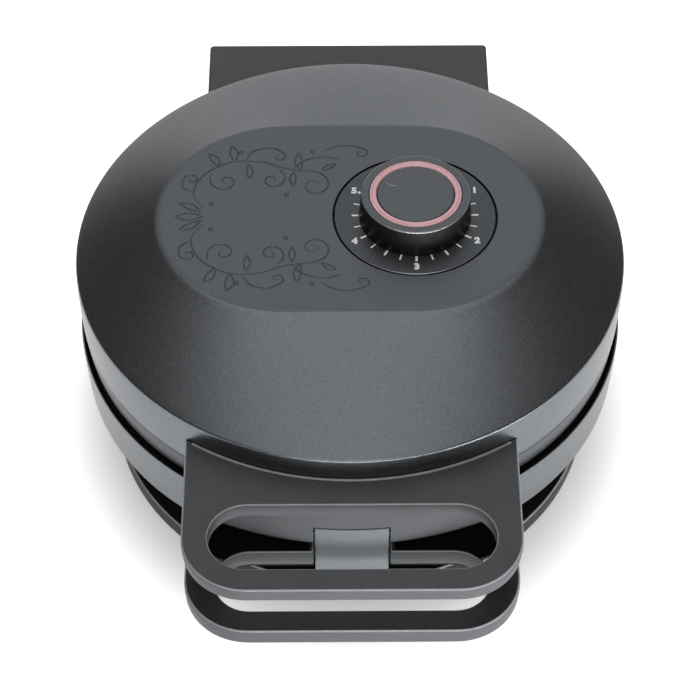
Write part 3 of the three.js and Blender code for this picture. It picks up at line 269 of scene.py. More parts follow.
# Red-tinted polycarbonate light guide: cloudy, with a glossy skin.
lightGuide = material("tinted_polycarbonate", "#e2aeb6", 0.3, 0.0,
                      grained(6, ("#e6b4ba", "#f0c2c8"), octaves=2.0), Coat_Weight=0.3)

# Steatite for the terminal block: off-white, unglazed.
steatite = material("unglazed_steatite", "#e4e0d6", 0.6, 0.0, grained(1.2, ("#dcd7cb", "#ebe7dd")))


# Glass-epoxy board with a green solder mask: the cloth under it shows as a fine weave.
def boardDetail(tree, shader, place):
    weave = addNode(tree, "ShaderNodeTexWave", None, Vector=place, Scale=perMetre(3))
    tint(tree, shader, weave.outputs[1], "#2a6240", "#34764c")


solderMask = material("green_solder_mask", "#2f6b46", 0.45, 0.0, boardDetail)

# White epoxy ink, printed: slightly uneven cover.
whiteInk = material("white_epoxy_ink", "#f5f6f6", 0.5, 0.0, grained(0.8, ("#f0f1f2", "#fafbfb"), octaves=2.0))
print("materials:", len(bpy.data.materials))


# Meshes

def placed(x, y, z):
    return Vector((x * mm, (y + axisY) * mm, z * mm))


# weld joins points and capInset sets a slab's faces in, both in mm. sharp is in degrees, and the rest
# are counts of steps.
mesh = dict(weld=0.002, capInset=0.3, sharp=35, around=192, knobAround=128, small=48, tiny=24, arc=6)


# A plan place from its reach and its turn in degrees, about a point on the X axis
def polar(reach, turn, x=0):
    return x + reach * math.cos(math.radians(turn)), reach * math.sin(math.radians(turn))


# Moves a shape from the lid's axis to the origin.
def toOrigin(shape):
    shape.data.transform(Matrix.Translation(-placed(0, 0, 0)))


# A named piece from points in mm and faces, welded, with its faces pointing out and its creases kept.
def piece(name, points, faces, finish, sharp=mesh["sharp"]):
    data = bpy.data.meshes.new(name)
    data.from_pydata([placed(*p) for p in points], [], faces)
    made = bpy.data.objects.new(name, data)
    bpy.context.scene.collection.objects.link(made)
    data.materials.append(finish)
    tidy(made, sharp)
    return made


def tidy(made, sharp=mesh["sharp"]):
    cleaned = bmesh.new()
    cleaned.from_mesh(made.data)
    bmesh.ops.remove_doubles(cleaned, verts=cleaned.verts, dist=mesh["weld"] * mm)
    bmesh.ops.dissolve_degenerate(cleaned, edges=cleaned.edges, dist=mesh["weld"] * mm / 10)
    bmesh.ops.recalc_face_normals(cleaned, faces=cleaned.faces)
    cleaned.to_mesh(made.data)
    cleaned.free()
    made.data.shade_smooth()
    made.data.set_sharp_from_angle(angle=math.radians(sharp))


# Replaces an object's mesh with what its modifiers make of it.
def bake(made, sharp=mesh["sharp"]):
    graph = bpy.context.evaluated_depsgraph_get()
    result = bpy.data.meshes.new_from_object(made.evaluated_get(graph))
    made.modifiers.clear()
    made.data = result
    tidy(made, sharp)
    return made


# Rounds off the sharp edges of a piece a little.
def soften(made, width):
    modifier = made.modifiers.new("soft", "BEVEL")
    modifier.width = width * mm
    modifier.segments = 2
    modifier.limit_method = "ANGLE"
    modifier.angle_limit = math.radians(40)
    return bake(made)


def combine(made, other, operation):
    modifier = made.modifiers.new("cut", "BOOLEAN")
    modifier.operation = operation
    modifier.solver = "EXACT"
    modifier.object = other
    bake(made)
    bpy.data.objects.remove(other)
    return made


def cut(made, *cutters):
    for cutter in cutters:
        combine(made, cutter, "DIFFERENCE")
    return made


def join(made, *others):
    for other in others:
        combine(made, other, "UNION")
    return made


# Replaces each corner (x, y, radius) of an outline by an arc. Corners without a radius stay sharp.
def rounded(corners, closed=True, steps=mesh["arc"]):
    out = []
    count = len(corners)
    for i, corner in enumerate(corners):
        here = Vector(corner[:2])
        radius = corner[2] if len(corner) > 2 else 0
        if radius == 0 or (not closed and i in (0, count - 1)):
            out.append(here)
            continue
        back = Vector(corners[i - 1][:2]) - here
        ahead = Vector(corners[(i + 1) % count][:2]) - here
        half = back.angle(ahead) / 2
        reach = min(radius / math.tan(half), back.length * 0.49, ahead.length * 0.49)
        radius = reach * math.tan(half)
        centre = here + (back.normalized() + ahead.normalized()).normalized() * (radius / math.sin(half))
        first = here + back.normalized() * reach - centre
        last = here + ahead.normalized() * reach - centre
        turn = first.angle_signed(last)
        for k in range(steps + 1):
            out.append(centre + Matrix.Rotation(-turn * k / steps, 2) @ first)
    return out


# Points of a profile (radius, height) turned about an axis at (x, y).
def lathe(name, profile, finish, centre=(0, 0), steps=mesh["around"], sharp=mesh["sharp"]):
    points, faces = [], []
    onAxis = [p[0] < mesh["weld"] for p in profile]
    for i in range(steps):
        angle = 2 * math.pi * i / steps
        c, s = math.cos(angle), math.sin(angle)
        points += [(centre[0] + r * c, centre[1] + r * s, z) for r, z in profile]
    count = len(profile)
    rows = count - 1 if onAxis[0] and onAxis[-1] else count
    for i in range(steps):
        here, there = i * count, (i + 1) % steps * count
        for k in range(rows):
            a, b = k, (k + 1) % count
            if onAxis[a] and onAxis[b]:
                continue
            if onAxis[a]:
                faces.append((here + a, here + b, there + b))
            elif onAxis[b]:
                faces.append((here + a, here + b, there + a))
            else:
                faces.append((here + a, here + b, there + b, there + a))
    return piece(name, points, faces, finish, sharp)


# Turns a slab's own (u, v, w) into (x, y, z): lying flat, or with its outline in the YZ or the XZ plane.
def flat(u, v, w):
    return u, v, w


def sideways(u, v, w):
    return w, u, v


def rearward(u, v, w):
    return u, w, v


def inward(loop, distance):
    moved = []
    for i, here in enumerate(loop):
        a = (here - loop[i - 1]).normalized()
        b = (loop[(i + 1) % len(loop)] - here).normalized()
        middle = (a + b).normalized()
        normal = Vector((-middle.y, middle.x))
        moved.append(here + normal * distance / max(0.4, middle.dot(a)))
    return moved


def area(loop):
    return sum(p.x * q.y - q.x * p.y for p, q in zip(loop, loop[1:] + loop[:1])) / 2


# A slab from an outline and its holes. A profile lists (inset, level) from one face to the other.
def slab(name, outline, holes, profile, finish, turn=flat, sharp=mesh["sharp"], holeProfile=None):
    loops = [outline if area(outline) > 0 else outline[::-1]]
    loops += [hole if area(hole) < 0 else hole[::-1] for hole in holes]
    points, faces, ends = [], [], []
    for loop in loops:
        edge = holeProfile if holeProfile and loop is not loops[0] else profile
        (first, low), (last, high) = edge[0], edge[-1]
        rows = [(first + mesh["capInset"], low), *edge, (last + mesh["capInset"], high)]
        start, size = len(points), len(loop)
        for inset, level in rows:
            points += [(p.x, p.y, level) for p in inward(loop, inset)]
        for row in range(len(rows) - 1):
            here = start + row * size
            there = here + size
            for i in range(size):
                j = (i + 1) % size
                faces.append((here + i, here + j, there + j, there + i))
        ends.append((start, start + (len(rows) - 1) * size))
    for end in (0, 1):
        rings = [[starts[end] + i for i in range(len(loop))] for starts, loop in zip(ends, loops)]
        flatRings = [[Vector(points[i]) for i in ring] for ring in rings]
        index = [i for ring in rings for i in ring]
        for triangle in tessellate_polygon(flatRings):
            faces.append(tuple(index[i] for i in triangle))
    return piece(name, [turn(*p) for p in points], faces, finish, sharp)


# A softened edge for a slab's profile: a quarter round of a radius, at the low or the high face.
def softEdge(radius, level, rising, steps=4):
    out = []
    for k in range(steps + 1):
        angle = math.pi / 2 * k / steps
        inset = radius * (1 - math.sin(angle))
        lift = radius * (1 - math.cos(angle))
        out.append((inset, level + lift if rising else level - lift))
    return out if rising else out[::-1]


def boxOutline(low, high, radius=0):
    corners = ((low[0], low[1]), (high[0], low[1]), (high[0], high[1]), (low[0], high[1]))
    return rounded([(*corner, radius) for corner in corners])


def block(name, low, high, finish):
    return slab(name, boxOutline(low[:2], high[:2]), [], [(0, low[2]), (0, high[2])], finish)


def arcPoints(radius, start, end, steps, centre=(0, 0)):
    turns = [math.radians(start + (end - start) * k / steps) for k in range(steps + 1)]
    return [Vector((centre[0] + radius * math.cos(t), centre[1] + radius * math.sin(t))) for t in turns]


# A round outline
def circle(radius, centre):
    count = mesh["small"]
    return arcPoints(radius, 0, 360 - 360 / count, count - 1, centre)


# Geometry Nodes

def newTree(name, sizes):
    tree = bpy.data.node_groups.new(name, "GeometryNodeTree")
    tree.interface.new_socket("Geometry", in_out="INPUT", socket_type="NodeSocketGeometry")
    for label, (kind, value) in sizes.items():
        socket = tree.interface.new_socket(label, in_out="INPUT", socket_type="NodeSocket" + kind)
        if value is not None:
            socket.default_value = value
    tree.interface.new_socket("Geometry", in_out="OUTPUT", socket_type="NodeSocketGeometry")
    return tree, addNode(tree, "NodeGroupInput").outputs


# Ends a tree the way the export needs: real geometry with its material on it.
def endTree(tree, geometry, finish):
    real = addNode(tree, "GeometryNodeRealizeInstances", None, Geometry=geometry)
    dressed = addNode(tree, "GeometryNodeSetMaterial", None, Geometry=real.outputs[0], Material=finish)
    addNode(tree, "NodeGroupOutput", None, Geometry=dressed.outputs[0])
    return tree


# Runs a tree on a mesh, with its inputs set by their identifiers, and keeps the result as the piece.
def grow(name, tree, seedMesh, values, sharp=mesh["sharp"]):
    made = bpy.data.objects.new(name, seedMesh)
    bpy.context.scene.collection.objects.link(made)
    modifier = made.modifiers.new("nodes", "NODES")
    modifier.node_group = tree
    for item in tree.interface.items_tree:
        if item.item_type == "SOCKET" and item.in_out == "INPUT" and item.name in values:
            modifier[item.identifier] = values[item.name]
    return bake(made, sharp)


# Copies of one small shape on a circle. Angles are in radians.
def circleTree(name):
    sizes = dict(
        Count=("Int", 12), Radius=("Float", 0.03), Start=("Float", 0.0), Step=("Float", 0.2),
        Centre=("Vector", (0, 0, 0)), Shape=("Object", None), Material=("Material", None),
    )
    tree, given = newTree(name, sizes)
    index = addNode(tree, "GeometryNodeInputIndex").outputs[0]
    swing = addNode(tree, "ShaderNodeMath", {"operation": "MULTIPLY_ADD"},
                    i0=index, i1=given["Step"], i2=given["Start"]).outputs[0]
    cos = addNode(tree, "ShaderNodeMath", {"operation": "COSINE"}, i0=swing).outputs[0]
    sin = addNode(tree, "ShaderNodeMath", {"operation": "SINE"}, i0=swing).outputs[0]
    unit = addNode(tree, "ShaderNodeCombineXYZ", None, X=cos, Y=sin).outputs[0]
    scaled = addNode(tree, "ShaderNodeVectorMath", {"operation": "SCALE"}, i0=unit, Scale=given["Radius"])
    spot = addNode(tree, "ShaderNodeVectorMath", {"operation": "ADD"},
                   i0=scaled.outputs[0], i1=given["Centre"]).outputs[0]
    points = addNode(tree, "GeometryNodePoints", None, Count=given["Count"], Position=spot).outputs[0]
    facing = addNode(tree, "ShaderNodeCombineXYZ", None, Z=swing).outputs[0]
    shape = addNode(tree, "GeometryNodeObjectInfo", None, Object=given["Shape"]).outputs["Geometry"]
    copies = addNode(tree, "GeometryNodeInstanceOnPoints", None,
                     Points=points, Instance=shape, Rotation=facing)
    return endTree(tree, copies.outputs[0], given["Material"])


onCircle = circleTree("shapes on a circle")


# Copies of a shape made at the lid's axis, set on a circle about x on the X axis at a level.
# Turns are in degrees.
def ringOf(name, shape, finish, count, radius, level, start, step, x=0):
    toOrigin(shape)
    values = dict(
        Count=count, Radius=radius * mm, Start=math.radians(start), Step=math.radians(step),
        Centre=tuple(placed(x, 0, level)), Shape=shape, Material=finish,
    )
    made = grow(name, onCircle, bpy.data.meshes.new(name), values)
    bpy.data.objects.remove(shape)
    return made


# A round bead laid along every line of a mesh made of edges, thinner towards its ends.
def beadTree():
    sizes = dict(
        Thickness=("Float", 0.001), Taper=("Float", 0.3), Sides=("Int", 8), Material=("Material", None),
    )
    tree, given = newTree("bead along a line", sizes)
    lines = addNode(tree, "GeometryNodeMeshToCurve", None, Mesh=given["Geometry"]).outputs[0]
    along = addNode(tree, "GeometryNodeSplineParameter").outputs["Factor"]
    away = addNode(tree, "ShaderNodeMath", {"operation": "PINGPONG"}, i0=along, i1=0.5).outputs[0]
    full = addNode(tree, "ShaderNodeMapRange", None, Value=away, From_Max=0.15, To_Min=given["Taper"])
    half = addNode(tree, "ShaderNodeMath", {"operation": "MULTIPLY"}, i0=given["Thickness"], i1=0.5)
    ring = addNode(tree, "GeometryNodeCurvePrimitiveCircle", None,
                   Resolution=given["Sides"], Radius=half.outputs[0])
    wide = addNode(tree, "GeometryNodeSetCurveRadius", None, Curve=lines, Radius=full.outputs[0])
    radius = addNode(tree, "GeometryNodeInputRadius").outputs[0]
    bead = addNode(tree, "GeometryNodeCurveToMesh", None,
                   Curve=wide.outputs[0], Profile_Curve=ring.outputs[0], Scale=radius, Fill_Caps=True)
    return endTree(tree, bead.outputs[0], given["Material"])


onLines = beadTree()


# Beads along open lines of points in mm, each (x, y), at a level
def beads(name, lines, level, thickness, finish, taper=0.3):
    points, edges = [], []
    for line in lines:
        start = len(points)
        points += [placed(p[0], p[1], level) for p in line]
        edges += [(start + i, start + i + 1) for i in range(len(line) - 1)]
    data = bpy.data.meshes.new(name)
    data.from_pydata(points, edges, [])
    return grow(name, onLines, data, dict(Thickness=thickness * mm, Taper=taper, Material=finish), 60)


# Gives the faces that picks() chooses a finish of their own.
def paint(made, finish, picks):
    made.data.materials.append(finish)
    for face in made.data.polygons:
        if picks(face):
            face.material_index = len(made.data.materials) - 1


# How far a face lies from an upright axis at x, in mm
def outOf(face, x=0):
    return (face.center - placed(x, 0, 0)).to_2d().length / mm


# Paints a band of faces near a level with a finish of its own: a painted highlight on rounded edges, or
# painted shade on a top face.
def paintBandNearLevel(made, level, depth, finish, steepest=0.97, flattest=0.25):
    def paintedBand(face):
        return face.center.z / mm > level - depth and flattest < face.normal.z < steepest

    paint(made, finish, paintedBand)


# Gives a finished piece its body and hides the nodes that it stands for.
def settle(made, body, nodes):
    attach(made, body)
    if nodes:
        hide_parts(*nodes)
    return made


# Lid cover: one shell, from the round rim up to the oblong flat top, with a softer edge at the front

dialX = 29.3
lidCover = dict(
    edge=112.8, footRadius=124.4, wall=2.8, crown=0.62, rim=1.0, bulge=0.25,
    flatRadius=58, flatOffset=29, flatLand=0.6,
    frontSoft=5.0, rearSoft=1.6, footRound=0.4, recess=37.3, recessDepth=1.2, recessRise=5, etchDown=0.45,
    bendSteps=6, domeSteps=12, rimSteps=5, skirtSteps=9,
)


def flatReach(angle):
    c, s = abs(math.cos(angle)), abs(math.sin(angle))
    offset, radius = lidCover["flatOffset"], lidCover["flatRadius"]
    straight = radius / s if s > 0 else math.inf
    if straight * c <= offset:
        return straight
    return offset * c + math.sqrt(radius ** 2 - (offset * s) ** 2)


def skirtRadius(level):
    c = lidCover
    share = (c["edge"] - level) / (c["edge"] - skirtLevel)
    return lidRadius + (c["footRadius"] - lidRadius) * share + c["bulge"] * math.sin(math.pi * share)


def bend(start, corner, end, steps):
    out = []
    for k in range(steps + 1):
        t = k / steps
        out.append(start * (1 - t) ** 2 + corner * 2 * t * (1 - t) + end * t ** 2)
    return out


# One upright cut through the lid, as (radius, level) from the top's edge out, down and back up inside.
def lidSection(angle):
    c = lidCover
    soft = c["rearSoft"] + (c["frontSoft"] - c["rearSoft"]) * (0.5 - math.sin(angle) / 2) ** 2
    top, edge = Vector((flatReach(angle), plateauLevel)), Vector((lidRadius, c["edge"]))
    slope = (edge - top).normalized()
    leave, land = top - Vector((soft, 0)), top + slope * soft
    out = [leave - Vector((c["flatLand"], 0)), *bend(leave, top, land, c["bendSteps"])]
    stop = edge - slope * c["rim"]
    lift = Vector((-slope.y, slope.x))
    for k in range(1, c["domeSteps"]):
        share = k / c["domeSteps"]
        out.append(land.lerp(stop, share) + lift * c["crown"] * 4 * share * (1 - share))
    drop = c["edge"] - c["rim"]
    out += bend(stop, edge, Vector((skirtRadius(drop), drop)), c["rimSteps"])
    for k in range(1, c["skirtSteps"] + 1):
        level = drop + (skirtLevel + c["footRound"] - drop) * k / c["skirtSteps"]
        out.append(Vector((skirtRadius(level), level)))
    foot, nick = skirtRadius(skirtLevel), c["footRound"] * 0.3
    out += [Vector((foot - nick, skirtLevel + nick)), Vector((foot - c["footRound"], skirtLevel))]
    out += [Vector((foot - c["wall"], skirtLevel))]
    out += [Vector((lidRadius - c["wall"] * 1.5, c["edge"] - c["wall"]))]
    return out + [top - Vector((2 * soft, c["wall"]))]


def makeLidCover():
    c = lidCover
    steps = mesh["around"]
    angles = [2 * math.pi * i / steps for i in range(steps)]
    sections = [lidSection(angle) for angle in angles]
    count = len(sections[0])
    points, faces = [], []
    for angle, section in zip(angles, sections):
        points += [(p.x * math.cos(angle), p.x * math.sin(angle), p.y) for p in section]
    for i in range(steps):
        here, there = i * count, (i + 1) % steps * count
        faces += [(here + k, here + k + 1, there + k + 1, there + k) for k in range(count - 1)]
    faces.append([i * count for i in range(steps)])
    faces.append([i * count + count - 1 for i in reversed(range(steps))])
    cover = piece("lid_cover_shell", points, faces, metallicLacquer)
    floor, over = plateauLevel - c["recessDepth"], plateauLevel + c["recessRise"]
    profile = [(0, floor), (c["recess"], floor), (c["recess"], over), (0, over)]
    cut(cover, lathe("recess", profile, metallicLacquer, (dialX, 0)))

    def onTop(face):
        return face.center.z / mm > plateauLevel - c["etchDown"] and face.normal.z > 0.9

    def inRecess(face):
        return abs(face.center.z / mm - floor) < 0.01 and outOf(face, dialX) < c["recess"]

    paint(cover, etchedLacquer, onTop)
    # The floor of the dial's well is painted shade black, for the dark gap round the scale disc.
    paint(cover, paintedShadeBlack, inRecess)
    return settle(cover, "lid", ["lid_cover"])


makeLidCover()
print("lid cover done")


# Scroll relief on the flat top's left end: two mirrored vines with curls, leaves and buds round a bare middle

# Its places are in mm from the lid's axis, and its lines' steps are counts.
scroll = dict(thick=0.72, steps=8, curlSteps=26, budRadius=0.9)


# A smooth line through points
def through(points, steps=scroll["steps"]):
    out = []
    ends = [points[0], *points, points[-1]]
    for i in range(1, len(ends) - 2):
        before, here, there, after = (Vector(p) for p in ends[i - 1:i + 3])
        for k in range(steps):
            t = k / steps
            bent = (there - before) * t + (2 * before - 5 * here + 4 * there - after) * t ** 2
            bent += (3 * here - before - 3 * there + after) * t ** 3
            out.append(here + bent / 2)
    out.append(Vector(points[-1]))
    return out


# A spiral from a start angle inwards, by turns (negative is clockwise), down to a share of its radius
def curl(x, y, radius, start, turns, share=0.16):
    steps = max(8, round(abs(turns) * scroll["curlSteps"]))
    out = []
    for k in range(steps + 1):
        angle = math.radians(start) + 2 * math.pi * turns * k / steps
        reach = radius * share ** (k / steps)
        out.append(Vector((x + reach * math.cos(angle), y + reach * math.sin(angle))))
    return out


# A leaf: two bowed sides from its stem to its tip
def leaf(stem, tip, width, bow=0.0):
    a, b = Vector(stem), Vector(tip)
    side = Vector((a.y - b.y, b.x - a.x)).normalized()
    middle = (a + b) / 2 + side * bow
    return [through([a, middle + side * width, b]), through([a, middle - side * width, b])]


def makeScroll():
    vine = through([(-66, 5), (-71, 14), (-67, 26), (-55, 34.5), (-41, 35), (-29, 30.5), (-17, 28.6)])
    half = [
        vine + curl(-16.4, 19.6, 9.0, 94, -1.55)[1:],
        curl(-56.5, 22.5, 8.2, 141, 1.35),
        curl(-35.5, 23.2, 7.4, 68, -1.4),
        through([(-71, 15), (-76, 19), (-75.5, 25), (-71, 26.5)]) + curl(-72.2, 23.4, 3.3, 68, -1.0)[1:],
        through([(-48, 35.6), (-44, 42), (-36, 44), (-30, 40.5)]) + curl(-32.6, 38.2, 3.5, 41, -1.1)[1:],
        through([(-26, 30), (-20, 36), (-11, 38), (-4.5, 36)]),
        through([(-13, 41), (-6, 45), (2, 45.2), (8, 42.4)]) + curl(5.0, 40.4, 3.6, 34, -1.1)[1:],
    ]
    leaves = [
        leaf((-60, 31.8), (-65, 40.5), 1.7, -0.8), leaf((-53, 35), (-54.5, 46), 1.9, -0.6),
        leaf((-22, 29), (-23.5, 41), 1.7, 0.7), leaf((-46.5, 33.6), (-46, 24), 1.5, 0.6),
        leaf((-25.4, 28.6), (-25.6, 19), 1.4, -0.5), leaf((-13, 29), (-6, 33.4), 1.2, 0.3),
    ]
    centre = [
        leaf((-66, 0), (-79, 0), 2.3),
        leaf((-67, 2.6), (-77.5, 8.5), 1.7, -0.7), leaf((-67, -2.6), (-77.5, -8.5), 1.7, 0.7),
    ]
    budSpots = ((-62.5, 8), (-50, 41), (-17, 41.5), (-28.6, 13.6))
    lines = half + [side for pair in leaves for side in pair]
    lines += [curl(x, y, scroll["budRadius"], 0, 1.0, 0.99) for x, y in budSpots]
    lines += [[Vector((p.x, -p.y)) for p in line] for line in lines]
    lines += [side for pair in centre for side in pair]
    made = beads("scroll_relief", lines, plateauLevel, scroll["thick"], etchedLacquer)
    return settle(made, "lid", [])


makeScroll()


# Lid frame: the ring under the seam, with the ledge that the upper plate hangs in

lidFrame = dict(
    top=lidLevel + frameBand, outerTop=124.2, outerLow=123.8, tuck=1.2, tuckHeight=5.0, tuckSteps=12,
    wall=2.4, ledge=4.7, seat=8.8, thick=2.4, bore=110.2, seatBore=105.5,
)


# The ledge that a plate hangs or stands on, above (side 1) or below (side -1) the parting
def ledgeCorners(side, radius):
    f = lidFrame
    ledge, seat = (parting + side * f[key] for key in ("ledge", "seat"))
    ledgeBack, seatBack = ledge + side * f["thick"], seat + side * f["thick"]
    return [
        (radius, ledgeBack), (f["bore"] + f["wall"], ledgeBack), (f["bore"] + f["wall"], seatBack),
        (f["seatBore"], seatBack), (f["seatBore"], seat), (f["bore"], seat),
        (f["bore"], ledge, 0.8), (radius, ledge, 1.0),
    ]


def makeLidFrame():
    f = lidFrame
    inner = f["outerLow"] - f["tuck"] - f["wall"]
    foot = Vector((f["outerLow"] - f["tuck"], lidLevel + 0.3))
    hip, brow = Vector((f["outerLow"], lidLevel + f["tuckHeight"])), Vector((f["outerTop"], f["top"]))
    corners = [tuple(p) for p in bend(foot, hip, brow, f["tuckSteps"])] + [(inner, f["top"])]
    corners += [*ledgeCorners(1, inner), (inner, lidLevel, 0.5)]
    # The ring's darker lacquer is painted shade.
    made = lathe("lid_frame_ring", rounded(corners), scaleLacquer)
    return settle(made, "lid", ["lid_frame"])


makeLidFrame()


# Lower housing: the bowl with its light band

housing = dict(
    bandLow=48.3, bandRadius=124.4, bandSteps=6, corner=3, hub=93, hubBore=70, hubLow=41.5,
    wall=2.4, land=0.8, bulge=0.25,
)


def makeHousing():
    h = housing
    inner = housingRadius - h["wall"] - 0.3
    low = h["bandLow"] - h["corner"]
    corners = [(housingRadius, housingTop, 0.5)]
    for k in range(1, h["bandSteps"]):
        share = k / h["bandSteps"]
        radius = housingRadius + (h["bandRadius"] - housingRadius) * share
        radius += h["bulge"] * math.sin(math.pi * share)
        corners.append((radius, housingTop + (h["bandLow"] - housingTop) * share))
    corners += [
        (h["bandRadius"], low + 0.6, 2.8), (h["hub"], h["hubLow"]), (h["hubBore"], h["hubLow"]),
        (h["hubBore"], h["hubLow"] + h["wall"]), (h["hub"], h["hubLow"] + h["wall"]),
        (h["bandRadius"] - h["corner"] - h["wall"], low + h["wall"]),
        (h["bandRadius"] - h["wall"], h["bandLow"] + h["wall"]),
        *ledgeCorners(-1, inner), (housingRadius - h["land"], housingTop, 0.3),
    ]
    made = lathe("lower_bowl", rounded(corners), metallicLacquer)
    return settle(made, "base", ["lower_housing"])


makeHousing()
print("rings done")


# Base plate with its lip, foot cups, ribs and vents, and the drum on it

base = dict(
    lipTop=10.2, lipRadius=113.8, footRadius=113.4, low=1.2, wall=2.4, paintedBand=0.5, landWidth=2.4,
    drum=90, drumTop=41.2, spigot=87, spigotTop=14.2,
    cup=11.2, cupBore=8.8, cupLow=1.5, cupCircle=97, cupAngles=(50, 130, 230, 310),
    holeRadius=1.8, holeCircle=84.2, holeTop=12, holeAngles=(30, 150, 270),
    ribs=6, ribFrom=42, ribTo=111, ribThick=1.6, ribLow=4.8,
    vents=5, ventPitch=9, ventLength=46, ventWidth=3.6,
)


# A slot with round ends, from its middle's height on the plan, its half length and its width
def ovalLoop(half, width, middle, steps):
    right = arcPoints(width / 2, -90, 90, steps, (half, middle))
    return right + arcPoints(width / 2, 90, 270, steps, (-half, middle))


def makeBasePlate():
    b = base
    top, under = b["lipTop"], b["lipTop"] - b["wall"]
    corners = [
        (0, top), (b["spigot"] - b["wall"], top), (b["spigot"] - b["wall"], b["spigotTop"]),
        (b["spigot"], b["spigotTop"]), (b["spigot"], top), (b["lipRadius"] - b["landWidth"], top),
        (b["lipRadius"], top, 1.2), (b["footRadius"], b["low"], 0.5),
        (b["footRadius"] - b["wall"], b["low"], 0.5), (b["lipRadius"] - b["wall"], under), (0, under),
    ]
    # The tray's dark nylon is painted shade, for the shade under the bowl.
    made = lathe("base_tray", rounded(corners, closed=False), paintedShadeNylon)

    def inStore(face):
        onTop = face.normal.z > 0.97 and face.center.z / mm > top - 0.1
        return onTop and outOf(face) < b["lipRadius"] - b["landWidth"] / 2

    # The lip's top edge gets a painted highlight, and the tray's top inside the lip painted shade black.
    paintBandNearLevel(made, top, b["paintedBand"], paintedHighlightNylon)
    paint(made, paintedShadeBlack, inStore)
    cup = [(b[radius], level) for radius, level in (
        ("cupBore", b["cupLow"]), ("cup", b["cupLow"]), ("cup", under + 0.8), ("cupBore", under + 0.8))]
    for turn in b["cupAngles"]:
        join(made, lathe("cup", cup, paintedShadeNylon, polar(b["cupCircle"], turn), mesh["small"]))
    rows = [(row - (b["vents"] - 1) / 2) * b["ventPitch"] for row in range(b["vents"])]
    vents = [ovalLoop(b["ventLength"] / 2, b["ventWidth"], y, 8) for y in rows]
    cut(made, *[slab("vent", vent, [], [(0, b["low"]), (0, top + 2)], paintedShadeNylon) for vent in vents])
    hole = [(0, 0), (b["holeRadius"], 0), (b["holeRadius"], b["holeTop"]), (0, b["holeTop"])]
    spots = [polar(b["holeCircle"], turn) for turn in b["holeAngles"]]
    cut(made, *[lathe("hole", hole, paintedShadeNylon, spot, mesh["tiny"]) for spot in spots])
    half = b["ribThick"] / 2
    rib = block("rib", (b["ribFrom"], -half, b["ribLow"]), (b["ribTo"], half, under + 0.2), paintedShadeNylon)
    ribs = ringOf("base_ribs", rib, paintedShadeNylon, b["ribs"], 0, 0, 0, 360 / b["ribs"])
    settle(ribs, "base", [])
    return settle(made, "base", ["base_plate"])


makeBasePlate()

foot = dict(radius=8.5, top=7.5, edge=0.9, dish=3.4, dishDepth=0.5)


def makeFeet():
    f = foot
    corners = [
        (0, f["dishDepth"]), (f["dish"], f["dishDepth"]), (f["dish"] + 0.8, 0, 0.2),
        (f["radius"], 0, f["edge"]), (f["radius"], f["top"]), (0, f["top"]),
    ]
    profile = rounded(corners, closed=False)
    for number, turn in enumerate(base["cupAngles"], 1):
        spot = polar(base["cupCircle"], turn)
        made = lathe("rubber_foot_%d" % number, profile, mouldedRubber, spot, mesh["small"])
        settle(made, "base", ["foot_%d" % number])


makeFeet()

drum = dict(low=10.5, wall=2.4, edge=0.8, glandLevel=25.2, glandHole=6.3, holeFrom=60, holeTo=110)


def makeDrum():
    d = drum
    outer, inner, top = base["drum"], base["drum"] - d["wall"], base["drumTop"]
    corners = [(inner, d["low"]), (outer, d["low"], d["edge"]), (outer, top, d["edge"]), (inner, top)]
    # The drum is painted shade black, for the deep shade under the bowl.
    made = lathe("cord_store_drum", rounded(corners), paintedShadeBlack)
    outline, span = circle(d["glandHole"], (0, d["glandLevel"])), [(0, d["holeFrom"]), (0, d["holeTo"])]
    cut(made, slab("hole", outline, [], span, paintedShadeBlack, rearward))
    return settle(made, "base", ["cord_drum"])


makeDrum()

gland = dict(
    bore=3.8, neck=6, flange=9, flangeThick=2, snout=9, inner=87.3, seat=90.3,
    ribs=3, ribProud=0.6, ribTaper=0.35, tipWall=1.4,
)


# The bush is turned about the Y axis: its profile is (radius, distance to the rear).
def makeGland():
    g = gland
    out = g["seat"] + g["flangeThick"]
    end = out + g["snout"]
    corners = [
        (g["bore"], g["inner"]), (g["neck"], g["inner"]), (g["neck"], g["seat"]),
        (g["flange"], g["seat"], 0.3), (g["flange"], out, 0.6),
    ]
    pitch = g["snout"] / (g["ribs"] * 2 + 1)
    for k in range(g["ribs"]):
        low = out + pitch * (2 * k + 0.6)
        radius = g["neck"] + g["ribProud"] - g["ribTaper"] * k
        corners += [
            (radius - 1.0, low), (radius, low + 0.2, 0.3),
            (radius, low + pitch, 0.3), (radius - 1.0, low + pitch + 0.2),
        ]
    corners += [(g["bore"] + g["tipWall"], end, 0.4), (g["bore"], end, 0.3)]
    made = lathe("cord_bush", rounded(corners), mouldedRubber, steps=mesh["small"])
    toOrigin(made)
    made.data.transform(Matrix.Rotation(-math.pi / 2, 4, "X"))
    made.data.transform(Matrix.Translation(placed(0, 0, drum["glandLevel"])))
    tidy(made)
    return settle(made, "base", ["cord_gland"])


makeGland()
print("base done")


# Bar handles: a plate with a finger slot, and what carries it under the plate

